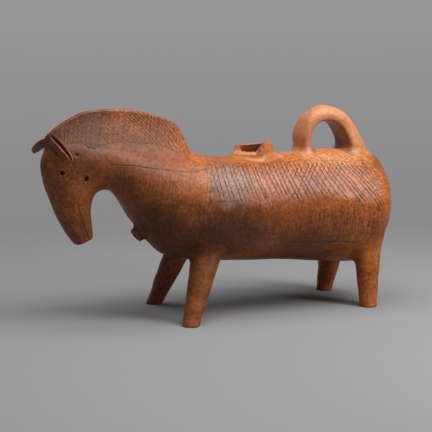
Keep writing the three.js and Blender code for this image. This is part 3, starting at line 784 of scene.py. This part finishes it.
class VESSEL_OT_ears(PieceOperator, bpy.types.Operator):
    """Ears: a folded leaf, its section a U with round rims, carried along a drooping line and narrowed to
    the tip."""

    bl_idname = "vessel.ears"
    bl_label = "Ears"

    def build(self, mm):
        for name, place in EARS.items():
            self.ear(name, *place, mm)

    def ear(self, name, side, sweep, droop, lower, deep, mm):
        """One ear of a given depth, turned back and down by two angles, with its root below the crest."""
        sweep, droop = np.radians(sweep), np.radians(droop)
        way = unit(np.array([np.sin(sweep), side * np.cos(sweep), -np.tan(droop)]))
        across = unit(np.cross([0, 0, 1], way))
        x, z = crest(0.968)
        root = np.array([x, side * MANE_EDGE / 2, z - lower])
        turn, bend = np.linspace(0, np.pi, 27), np.linspace(0, np.pi, 8)[1:-1]
        r = EAR_RIM / 2
        wide = np.concatenate([EAR_HALF * np.cos(turn), r - EAR_HALF - r * np.cos(bend),
                               (EAR_RIM - EAR_HALF) * np.cos(turn), EAR_HALF - r - r * np.cos(bend)])
        tall = np.concatenate([-deep * np.sin(turn), r * np.sin(bend),
                               (EAR_FOLD - deep) * np.sin(turn), r * np.sin(bend)])
        rounded = EAR_TIP * np.sin(np.linspace(0, np.pi / 2, 9))[1:]
        part = np.append(np.linspace(-0.12, 1 - EAR_TIP, 60), 1 - EAR_TIP + rounded)[:, None]
        out = np.clip(part, 0, 1)
        tip = np.sqrt(np.clip(1 - (np.clip(part - 1 + EAR_TIP, 0, 1) / EAR_TIP) ** 2, 0.02, 1))
        wide = wide * mix(0.5, 1, smooth(-0.05, 0.3, part)) * mix(1, 0.5, out ** 3) * tip
        tall = (tall + 5.0) * mix(1, 0.62, out ** 2) * tip - 2.0 * out ** 2
        rings = (root + (part * EAR_LENGTH)[..., None] * way + wide[..., None] * across
                 + tall[..., None] * np.cross(way, across))
        painted_shade = np.zeros(rings.shape[:2])
        # painted shade inside the ear's fold
        painted_shade[:, 35:58] = 0.45  # inside the fold
        ring_piece(name, "burnished_clay", uneven(rings, mm, 0.8), groove=painted_shade)


# place behind the neck seam, bore and outer radius, rim's height over the back, rounding of the lip
FILL_X, FILL_BORE, FILL_OUTER, FILL_RIM, FILL_LIP = 53.4, 13.0, 19.6, 10.3, 2.2
FILL_TILT = np.array([0.03, -0.166])  # rise of the rim's plane along x and y
BREAK_AT = np.radians(-143)  # middle of the broken side


def jagged(angle, seed):
    """Uneven broken edge, about -1 to 1: sums of waves round the ring with sharp corners."""
    draw = np.random.default_rng(seed).random((9, 2))
    total = np.zeros_like(angle)
    for number, (size, phase) in zip(np.arange(5, 50, 5), draw):
        wave = np.abs((number * angle / (2 * np.pi) + phase) % 1 * 2 - 1) * 2 - 1
        total = total + size * wave * 3 / number ** 0.6
    return total / 2.5


class VESSEL_OT_filling_neck(PieceOperator, bpy.types.Operator):
    """Filling neck: a flared ring turned about an upright axis, with clay smoothed on to the back, cut
    down by a jagged surface where its near side is broken."""

    bl_idname = "vessel.filling_neck"
    bl_label = "Filling neck"

    def build(self, mm):
        angle = circle(220)
        centre_x = FILL_X + SEAM

        def turned(radius, height):
            """Rings of a radius at a height over the back."""
            radius, height, way = np.broadcast_arrays(radius, height, angle)
            return np.stack([centre_x + radius * np.cos(way), radius * np.sin(way), BACK + height], -1)

        def outer(height):
            """Outer side of the ring at a height over the back, and the axis there."""
            rise = np.clip(height / FILL_RIM, 0, 1)
            return turned(FILL_OUTER + 1.2 * (1 - rise) ** 2, height), turned(0.0, height)

        root, shaft = tube_root(outer, FILL_RIM, -14, mm.mouth_fillet, len(angle))
        top = FILL_RIM - FILL_LIP
        sides = outer(mix(shaft, top, np.linspace(1, 0, 14)[:-1, None]))[0]
        turn = np.linspace(0, np.pi, 30)[:, None]
        middle, half = (FILL_OUTER + FILL_BORE) / 2, (FILL_OUTER - FILL_BORE) / 2
        lip = turned(middle - half * bent(np.cos(turn), 0.7), top + FILL_LIP * np.sin(turn) ** 0.5)
        bore = turned(FILL_BORE, mix(-WALL - 0.8, top, np.linspace(0, 1, 16)[:-1, None]))
        rings = np.concatenate([bore, lip, sides, root])
        out = rings[..., :2] - np.array([centre_x, 0])
        rings[..., 2] += out @ FILL_TILT * smooth(0, FILL_RIM, rings[..., 2] - BACK)
        away = np.angle(np.exp(1j * (angle - BREAK_AT))) + 0.05 * jagged(angle, 31)
        climb = np.where(away < 0, 30 * np.maximum(-away - 0.85, 0), 14 * np.maximum(away - 0.6, 0))
        spread = np.linalg.norm(out, axis=-1)
        cut = BACK + 1.6 + climb + 0.6 * jagged(angle, 32) - (spread - middle) * 0.25
        cut = cut + 0.15 * np.sin(spread * 2.1 + 9 * np.sin(angle * 7))
        chipped = rings[..., 2] > cut
        rings[..., 2] = np.minimum(rings[..., 2], cut)
        # painted shade inside the bore, heavier on one side
        inside = np.zeros(rings.shape[:2])
        inside[:len(bore) + 4] = mix(0.25, 0.6, 1 - smooth(1.9, 2.8, angle))
        # on the break, the clay near its low middle edge is pale, partly the fresh break's own colour and
        # partly painted light from above, and the faces higher up get painted shade
        low = (1 - smooth(1.5, 5, rings[..., 2] - BACK)) * (1 - smooth(0.6, 0.9, np.abs(away + 0.1)))
        ring_piece("filling_neck", "orange_clay", uneven(rings, mm, 0.8, True), True,
                   broken=np.where(chipped, 0.6 * low, 0), groove=np.where(chipped, 0.38 * (1 - low), inside))


# the strap's inner face behind the neck seam and above the back, its width and its thickness
HANDLE_PATH = ((113, -16.5, 30, 12), (113, -0.5, 29, 12), (112.8, 14.5, 29, 11.6), (116.5, 23.5, 29.5, 11.9),
               (121.5, 28, 30, 13.9), (129.7, 29.8, 31, 16.4), (139, 28.2, 31.5, 16.2),
               (146, 22.5, 32.5, 17.4), (152.5, 12, 34, 19.7), (156, 1, 37, 23.0), (161, -15.5, 39, 22.0))
STRAP_EDGE = 5.5  # from the inner face to the strap's widest line


class VESSEL_OT_handle(PieceOperator, bpy.types.Operator):
    """Loop handle: a strap with round edges carried along an arch over the rump, with clay smoothed round
    both roots."""

    bl_idname = "vessel.handle"
    bl_label = "Loop handle"

    def build(self, mm):
        angle = circle(128)
        path = np.array(HANDLE_PATH) + np.array([SEAM, BACK, 0, 0])
        inner = np.sin(angle) < 0
        square = np.where(inner, 0.6, 0.9)

        def strap(place):
            """Strap's surface at a place along the arch: a section square to the arch, flat inside with crisp
            edges and domed outside, from two halves of squared ellipses that meet at the strap's edge."""
            x, z, wide, thick = np.moveaxis(spline(path, place), -1, 0)
            along = unit((spline(path, place + 0.01) - spline(path, place - 0.01))[..., :2])

            def off(out, side):
                """Point out from the inner face, square to the arch, and to the side."""
                return np.stack([x - along[..., 1] * out, side + 0 * x, z + along[..., 0] * out], -1)

            half = np.where(inner, STRAP_EDGE, thick - STRAP_EDGE)
            out = STRAP_EDGE + half * bent(np.sin(angle), square)
            return off(out, wide / 2 * bent(np.cos(angle), square)), off(thick / 2, 0)

        front, front_place = tube_root(strap, 2.4, 0.0, mm.handle_fillet, len(angle))
        wider = mix(1, 1.7, smooth(0.1, 0.9, -np.sin(angle)))
        rear, rear_place = tube_root(strap, 8.0, 10.0, mm.handle_fillet * wider, len(angle))
        share = np.linspace(0, 1, 110)[1:-1, None]
        rings = np.concatenate([front[::-1], strap(mix(front_place, rear_place, share))[0], rear])
        # painted shade on the strap's inner face, under the handle
        underside_shade = 0.35 * smooth(0.2, 0.7, -np.sin(angle)) * np.ones(rings.shape[:2])
        ring_piece("loop_handle", "orange_clay", uneven(rings, mm, 1.3), groove=underside_shade)


SPOUT_STATION, SPOUT_RADIUS, SPOUT_BORE, SPOUT_LENGTH, SPOUT_LIP = 3.8, 7.0, 3.0, 7.0, 1.2


class VESSEL_OT_spout(PieceOperator, bpy.types.Operator):
    """Chest spout: a short pierced ring square to the chest, with clay smoothed round its root."""

    bl_idname = "vessel.spout"
    bl_label = "Chest spout"

    def build(self, mm):
        angle = circle(96)
        foot, way = skin(SPOUT_STATION, np.pi), skin_normal(SPOUT_STATION, np.pi)
        across = np.array([0, 1.0, 0])
        spoke = np.cos(angle)[:, None] * across + np.sin(angle)[:, None] * np.cross(way, across)

        def stub(height):
            """Side of the stub at a height over the chest."""
            radius = SPOUT_RADIUS + 0.06 * (SPOUT_LENGTH - np.clip(height, 0, SPOUT_LENGTH))
            middle = foot + height[..., None] * way
            return middle + radius[..., None] * spoke, middle

        root, shaft = tube_root(stub, SPOUT_LENGTH, -10, mm.spout_fillet, len(angle))
        turn = np.linspace(0, np.pi, 14)[:, None]
        top = SPOUT_LENGTH - SPOUT_LIP
        lip_radius = SPOUT_BORE + (SPOUT_RADIUS - SPOUT_BORE) / 2 * (1 - bent(np.cos(turn), 0.6))
        lip_height = top + SPOUT_LIP * np.sin(turn) ** 0.5
        lip = foot + lip_height[..., None] * way + lip_radius[..., None] * spoke
        bore = foot + np.linspace(-WALL - 1, top, 10)[:-1, None, None] * way + SPOUT_BORE * spoke
        side = stub(mix(top, shaft, np.linspace(0, 1, 6)[1:-1, None]))[0]
        rings = np.concatenate([bore, lip, side, root])
        ring_piece("chest_spout", "burnished_clay", uneven(rings, mm, 1.0, True), True)


SOLE_DIAMETER, SOLE_EDGE, LEG_DIAMETER, ROOT_SPREAD = 17.2, 1.6, 27.0, 72.0
# side, stance between soles, sole and root behind the neck seam
LEGS = {
    "front_left_leg": (-1, 113.0, -39.8, -18.0),
    "front_right_leg": (1, 113.0, -33.0, -18.0),
    "rear_left_leg": (-1, 94.0, 162.0, 166.0),
    "rear_right_leg": (1, 94.0, 162.0, 164.0),
}


class VESSEL_OT_legs(PieceOperator, bpy.types.Operator):
    """Legs: round sections along a slanting line, wider upwards, on a small sole, smoothed into the body."""

    bl_idname = "vessel.legs"
    bl_label = "Legs"

    def build(self, mm):
        for name, place in LEGS.items():
            self.leg(name, *place, mm)

    def leg(self, name, side, stance, sole_x, root_x, mm):
        """One leg, from its sole to its root inside the body."""
        angle = circle(100)
        sole = np.array([SEAM + sole_x, side * stance / 2, 0])
        root = np.array([SEAM + root_x, side * ROOT_SPREAD / 2, BELLY])
        spoke = np.stack([np.sin(angle), np.cos(angle), 0 * angle], -1)

        def shank(rise):
            """Leg's surface at a share of its height: radius grows as rise^1.25."""
            middle = mix(sole, root, rise[..., None])
            radius = mix(SOLE_DIAMETER, LEG_DIAMETER, np.maximum(rise, 0) ** 1.25) / 2
            return middle + radius[..., None] * spoke, middle

        flange, place = tube_root(shank, 0.25, AXIS / BELLY, mm.leg_fillet, len(angle), 18)
        turn = np.linspace(0, np.pi / 2, 6)[:, None]
        radius = SOLE_DIAMETER / 2 - SOLE_EDGE * (1 - np.sin(turn))
        rim = mix(sole, root, (SOLE_EDGE * (1 - np.cos(turn)) / BELLY)[..., None]) + radius[..., None] * spoke
        disc = sole + np.array([2.0, 4.5])[:, None, None] * spoke
        shaft = shank(mix(SOLE_EDGE / BELLY, place, np.linspace(0, 1, 46)[1:-1, None]))[0]
        rings = np.concatenate([disc, rim, shaft, flange])
        ring_piece(name, "mottled_clay", mix(rings, uneven(rings, mm, 1.2), smooth(0, 8, rings[..., 2:3])))


# Materials

def new_tree(data):
    """Empty node tree of a material or a world."""
    data.use_nodes = True
    data.node_tree.nodes.clear()
    return data.node_tree


def add(tree, kind, inputs=None, **settings):
    """Adds a node with its settings, sets or links its inputs, and gives its outputs."""
    made = tree.nodes.new(kind)
    for key, value in settings.items():
        setattr(made, key, value)
    for key, value in (inputs or {}).items():
        if isinstance(value, bpy.types.NodeSocket):
            tree.links.new(value, made.inputs[key])
        else:
            made.inputs[key].default_value = value
    return made.outputs


def rgba(values):
    """A colour with its alpha."""
    return (*values, 1.0)


CLAY_TONES = {
    # slot: least and greatest share of brown clay, how much the speckles differ, specular level
    "burnished_clay": (0.05, 0.85, 0.45, 0.34),
    "orange_clay": (0.0, 0.3, 0.2, 0.34),
    "mottled_clay": (0.3, 1.0, 0.44, 0.24),
}
# firing clouds, mottling, speckles and grit: size in mm, detail and roughness of the pattern
CLAY_GRAINS = ((45, 4.0, 0.6), (10, 5.0, 0.65), (3, 3.0, 0.6), (1.2, 2.0, 0.5))
# clouds of colour, the same on both sides: colour, x, distance from the middle plane, z and radius in mm, and
# how much of the clay they cover. Most are left by the fire; some are painted shade or a painted highlight,
# as marked
FIRE_CLOUDS_AND_PAINTED_LIGHT = (
    ("brown_clay", -150, 0, 125, 75, 0.75),
    ("dark_clay_and_shade", -150, 0, 178, 62, 0.8),
    ("brown_clay", -85, 15, 148, 60, 0.85),
    ("dark_clay_and_shade", -95, 25, 158, 40, 0.35),
    # browner lower flank: partly the clay's own brown, partly painted shade, darker towards the bottom
    ("brown_clay", 80, 60, 85, 75, 0.7),
    ("brown_clay", 185, 0, 105, 45, 0.5),
    # darker end of the rump: partly a dark fire cloud, partly painted shade where it turns from the light
    ("dark_clay_and_shade", 176, 0, 130, 56, 0.5),
    ("dark_clay_and_shade", -140, 0, 85, 45, 0.5),
    # dark chest: partly smoke-browned clay, partly painted shade on the downward-facing chest
    ("dark_clay_and_shade", -65, 25, 80, 65, 0.85),
    ("dark_clay_and_shade", -5, 50, 88, 55, 0.85),
    # painted shade under the belly
    ("dark_clay_and_shade", 70, 30, 45, 75, 0.6),
    # painted shadow of the body on the front legs
    ("dark_clay_and_shade", -45, 55, 25, 50, 0.5),
    ("smoke", -4, 43, 135, 32, 0.5),
    # pale handle: partly paler clay, partly a painted highlight on its top and roots
    ("broken_clay_and_painted_light", 122, 0, 180, 70, 0.78),
    ("broken_clay_and_painted_light", 55, 12, 163, 20, 0.4),
)
CLOUD_CORE = 0.35  # share of a cloud's radius inside which it is strongest


def clay_material(slot):
    """Burnished terracotta: iron-rich clay, rubbed with a pebble when leather-hard and fired in an open fire.
    The eye sees a soft sheen, orange where air reached it, brown and grey clouds where smoke did, and earth
    in the strokes. Some clouds and marks are painted shade, on the belly, chest, rump end and front legs, in
    the holes, the ear's fold, the bore, the break and under the handle, and painted light on the break's low
    edge and the handle."""
    name = "burnished_terracotta_" + slot
    if name in bpy.data.materials:
        return bpy.data.materials[name]
    colours = bpy.context.scene.vessel_colours
    least, most, spread, shine = CLAY_TONES[slot]
    material = bpy.data.materials.new(name)
    tree = new_tree(material)
    place = add(tree, "ShaderNodeTexCoord")["Object"]
    clouds, mottle, speckle, grit = (
        add(tree, "ShaderNodeTexNoise", {
            "Vector": place, "Scale": 1 / (size * MM), "Detail": detail, "Roughness": roughness})
        for size, detail, roughness in CLAY_GRAINS)
    both = add(tree, "ShaderNodeMath", {0: clouds["Fac"], 1: mottle["Fac"]}, operation="ADD")[0]
    browning = add(tree, "ShaderNodeMapRange", {
        "Value": both, "From Min": 0.78, "From Max": 1.2, "To Min": least, "To Max": most})[0]
    base = add(tree, "ShaderNodeMix", {
        0: browning, 6: rgba(colours.orange_clay), 7: rgba(colours.brown_clay)}, data_type="RGBA")[2]
    # the clouds' edges are pushed about by the mottling, 12 mm each way
    shift = add(tree, "ShaderNodeVectorMath", {
        0: mottle["Color"], 1: (0.5, 0.5, 0.5)}, operation="SUBTRACT")[0]
    moved = add(tree, "ShaderNodeVectorMath", {
        0: shift, 1: (0.05, 0.05, 0.05), 2: place}, operation="MULTIPLY_ADD")[0]
    x, y, z = add(tree, "ShaderNodeSeparateXYZ", {0: moved})
    across = add(tree, "ShaderNodeMath", {0: y}, operation="ABSOLUTE")[0]
    folded = add(tree, "ShaderNodeCombineXYZ", {0: x, 1: across, 2: z})[0]
    for tone, *centre, radius, share in FIRE_CLOUDS_AND_PAINTED_LIGHT:
        far = add(tree, "ShaderNodeVectorMath", {
            0: folded, 1: [part * MM for part in centre]}, operation="DISTANCE")["Value"]
        cover = add(tree, "ShaderNodeMapRange", {
            "Value": far, "From Min": CLOUD_CORE * radius * MM, "From Max": radius * MM,
            "To Min": share, "To Max": 0.0}, interpolation_type="SMOOTHSTEP")[0]
        base = add(tree, "ShaderNodeMix", {
            0: cover, 6: base, 7: rgba(getattr(colours, tone))}, data_type="RGBA")[2]
    lightness = add(tree, "ShaderNodeMapRange", {
        "Value": speckle["Fac"], "From Min": 0.3, "From Max": 0.7,
        "To Min": 1 - spread, "To Max": 1 + spread})[0]
    speckled = add(tree, "ShaderNodeHueSaturation", {"Value": lightness, "Color": base})[0]
    # this mark darkens the clay with the dirt colour: earth in the strokes, and painted shade in the head's
    # holes, the ear's fold, the filling neck's bore and break, and under the handle
    groove = add(tree, "ShaderNodeAttribute", attribute_name="groove")["Fac"]
    soil_and_shade = add(tree, "ShaderNodeMapRange", {
        "Value": groove, "From Min": 0.1, "From Max": 0.75, "To Max": 0.95})[0]
    dirty_and_shaded = add(tree, "ShaderNodeMix", {0: soil_and_shade, 6: speckled, 7: rgba(colours.dirt_and_shade_colour)}, data_type="RGBA")[2]
    # the break mark mixes in pale broken clay: the fresh break's own colour, and painted light on its low
    # edge
    broken = add(tree, "ShaderNodeAttribute", attribute_name="broken")["Fac"]
    torn = add(tree, "ShaderNodeMix", {
        0: broken, 6: dirty_and_shaded, 7: rgba(colours.broken_clay_and_painted_light)}, data_type="RGBA")[2]
    # rubbed smoothest on the flanks, about 14 cm round their middle
    rubbed = add(tree, "ShaderNodeVectorMath", {
        0: folded, 1: (0.08, 0.05, 0.125)}, operation="DISTANCE")["Value"]
    polish = add(tree, "ShaderNodeMapRange", {
        "Value": rubbed, "From Min": 0.05, "From Max": 0.14, "To Min": 0.2, "To Max": 0.42},
        interpolation_type="SMOOTHSTEP")[0]
    gloss = add(tree, "ShaderNodeMath", {0: mottle["Fac"], 1: 0.15, 2: polish}, operation="MULTIPLY_ADD")[0]
    bump = add(tree, "ShaderNodeBump", {"Height": grit["Fac"], "Strength": 0.25, "Distance": 0.0003})[0]
    shader = add(tree, "ShaderNodeBsdfPrincipled", {
        "Base Color": torn, "Roughness": gloss, "Normal": bump, "IOR": 1.5, "Specular IOR Level": shine})[0]
    add(tree, "ShaderNodeOutputMaterial", {"Surface": shader})
    return material


# Studio

AZIMUTH, ELEVATION, DISTANCE, LENS = np.radians(-24.2), np.radians(8.3), 1.350, 112.5
TARGET = Vector((-0.000534, 0.0, 0.096))
FLOOR_GREY, WALL_GREY = "#8b8b8b", "#999999"  # the paper as it is seen, away from the vessel
ROOM_LIGHT = (0.03, 0.03, 0.03)  # what the room itself sends to the vessel
PAPER_FIBRE = 4  # mm
# azimuth from the camera and elevation in degrees, distance, width, height, watts
LAMPS = {
    "overhead_softbox": (0, 82, 1.6, 1.7, 1.7, 29.5),
    "strip_softbox": (66, 44, 1.0, 0.26, 1.1, 8.8),
}


class VESSEL_OT_stage(bpy.types.Operator):
    """Grey paper sweep, a softbox overhead, a narrow one at the upper right, and the camera."""

    bl_idname = "vessel.stage"
    bl_label = "Stage"
    bl_options = {"REGISTER", "UNDO"}

    def execute(self, context):
        self.paper(context.scene)
        self.lamps(context.scene)
        self.camera(context.scene)
        return {"FINISHED"}

    def paper(self, scene):
        """Paper sweep: a flat floor, a quarter circle and an upright wall, carried sideways."""
        turn = np.linspace(0, np.pi / 2, 24)[1:]
        depth = np.concatenate([np.linspace(-3.0, 0.9, 8), 0.9 + 0.7 * np.sin(turn), [1.6]])
        height = np.concatenate([np.zeros(8), 0.7 * (1 - np.cos(turn)), [3.5]])
        across, depth = np.meshgrid(np.linspace(-4, 4, 9), depth)
        x = across * np.cos(AZIMUTH) - depth * np.sin(AZIMUTH)
        y = across * np.sin(AZIMUTH) + depth * np.cos(AZIMUTH)
        points = np.stack([x, y, np.broadcast_to(height[:, None], x.shape)], -1)
        index = np.arange(x.size).reshape(x.shape)
        quads = np.stack([index[:-1, :-1], index[:-1, 1:], index[1:, 1:], index[1:, :-1]], -1).reshape(-1, 4)
        mesh = bpy.data.meshes.new("paper_sweep")
        mesh.from_pydata(points.reshape(-1, 3).tolist(), [], quads.tolist())
        mesh.polygons.foreach_set("use_smooth", np.ones(len(quads), bool))
        mesh.materials.append(self.paper_material(scene))
        floor = bpy.data.objects.new("paper_sweep", mesh)
        scene.collection.objects.link(floor)

    def paper_material(self, scene):
        """Matt backdrop paper: a plain grey with a faint fibre and no gloss. Away from the vessel the paper
        that is looked at shows an even grey, a little lighter up the wall."""
        material = bpy.data.materials.new("backdrop_paper")
        tree = new_tree(material)
        place = add(tree, "ShaderNodeTexCoord")["Object"]
        fibre = add(tree, "ShaderNodeTexNoise", {"Vector": place, "Scale": 1 / (PAPER_FIBRE * MM)})["Fac"]
        bump = add(tree, "ShaderNodeBump", {"Height": fibre, "Strength": 0.05, "Distance": 0.0002})[0]
        shader = add(tree, "ShaderNodeBsdfPrincipled", {
            "Base Color": rgba(scene.vessel_colours.paper), "Roughness": 0.95, "Specular IOR Level": 0.1,
            "Normal": bump})[0]
        away = add(tree, "ShaderNodeVectorMath", {0: place}, operation="LENGTH")["Value"]
        far = add(tree, "ShaderNodeMapRange", {
            "Value": away, "From Min": 0.35, "From Max": 0.9}, interpolation_type="SMOOTHSTEP")[0]
        seen = add(tree, "ShaderNodeMath", {0: far, 1: self.looked_at(tree)}, operation="MULTIPLY")[0]
        height = add(tree, "ShaderNodeSeparateXYZ", {0: place})["Z"]
        grey = add(tree, "ShaderNodeMapRange", {
            "Value": height, "From Min": 0.0, "From Max": 0.35,
            "To Min": linear(FLOOR_GREY)[0], "To Max": linear(WALL_GREY)[0]})[0]
        glow = add(tree, "ShaderNodeEmission", {"Color": grey})[0]
        both = add(tree, "ShaderNodeMixShader", {0: seen, 1: shader, 2: glow})[0]
        add(tree, "ShaderNodeOutputMaterial", {"Surface": both})
        return material

    def looked_at(self, tree):
        """1 for what the camera sees, straight or in a reflection or through glass, and 0 for light on the
        vessel."""
        path = add(tree, "ShaderNodeLightPath")
        straight = add(tree, "ShaderNodeMath", {
            0: path["Is Camera Ray"], 1: path["Is Glossy Ray"]}, operation="MAXIMUM")[0]
        return add(tree, "ShaderNodeMath", {
            0: straight, 1: path["Is Transmission Ray"]}, operation="MAXIMUM")[0]

    def place(self, scene, data, azimuth, elevation, distance):
        """Object that looks at the vessel from an angle round it, an angle over the floor and a distance."""
        item = bpy.data.objects.new(data.name, data)
        flat = np.cos(elevation)
        way = Vector((np.sin(azimuth) * flat, -np.cos(azimuth) * flat, np.sin(elevation)))
        item.location = TARGET + way * distance
        item.rotation_euler = way.to_track_quat("Z", "Y").to_euler()
        scene.collection.objects.link(item)
        return item

    def lamps(self, scene):
        """The softboxes, and a dim room that is seen as pale grey."""
        for name, (azimuth, elevation, distance, wide, tall, power) in LAMPS.items():
            data = bpy.data.lights.new(name, "AREA")
            data.shape = "RECTANGLE"
            data.size, data.size_y = wide, tall
            data.energy = power
            self.place(scene, data, AZIMUTH + np.radians(azimuth), np.radians(elevation), distance)
        scene.world = bpy.data.worlds.new("studio_room")
        tree = new_tree(scene.world)
        grey = add(tree, "ShaderNodeMix", {
            0: self.looked_at(tree), 6: rgba(ROOM_LIGHT), 7: rgba(linear(WALL_GREY))}, data_type="RGBA")[2]
        room = add(tree, "ShaderNodeBackground", {"Color": grey})[0]
        add(tree, "ShaderNodeOutputWorld", {"Surface": room})

    def camera(self, scene):
        """Camera at the photograph's angle, far off with a long lens."""
        data = bpy.data.cameras.new("photo_camera")
        data.lens, data.sensor_width = LENS, 36.0
        data.clip_start, data.clip_end = 0.01, 50
        scene.camera = self.place(scene, data, AZIMUTH, ELEVATION, DISTANCE)
        scene.view_settings.view_transform = "Standard"


# Add-on

OPERATORS = (
    VESSEL_OT_barrel, VESSEL_OT_rump, VESSEL_OT_neck, VESSEL_OT_head, VESSEL_OT_mane, VESSEL_OT_ears,
    VESSEL_OT_filling_neck, VESSEL_OT_handle, VESSEL_OT_spout, VESSEL_OT_legs, VESSEL_OT_stage,
)


class VESSEL_PT_panel(bpy.types.Panel):
    """Lists the vessel's pieces, sizes and colours."""

    bl_idname = "VESSEL_PT_panel"
    bl_label = "Clay vessel"
    bl_space_type = "VIEW_3D"
    bl_region_type = "UI"
    bl_category = "Clay vessel"

    def draw(self, context):
        for kind in OPERATORS:
            self.layout.operator(kind.bl_idname)
        for group in (context.scene.vessel_sizes, context.scene.vessel_colours):
            for key in group.__annotations__:
                self.layout.prop(group, key)


CLASSES = (VesselSizes, VesselColours, *OPERATORS, VESSEL_PT_panel)


def register():
    for kind in CLASSES:
        bpy.utils.register_class(kind)
    bpy.types.Scene.vessel_sizes = bpy.props.PointerProperty(type=VesselSizes)
    bpy.types.Scene.vessel_colours = bpy.props.PointerProperty(type=VesselColours)


def unregister():
    del bpy.types.Scene.vessel_colours
    del bpy.types.Scene.vessel_sizes
    for kind in reversed(CLASSES):
        bpy.utils.unregister_class(kind)


def main():
    """Builds the vessel and the stage."""
    register()
    bpy.ops.vessel.barrel()
    bpy.ops.vessel.rump()
    bpy.ops.vessel.neck()
    bpy.ops.vessel.head()
    bpy.ops.vessel.mane()
    bpy.ops.vessel.ears()
    bpy.ops.vessel.filling_neck()
    bpy.ops.vessel.handle()
    bpy.ops.vessel.spout()
    bpy.ops.vessel.legs()
    bpy.ops.vessel.stage()


if __name__ == "__main__":
    main()
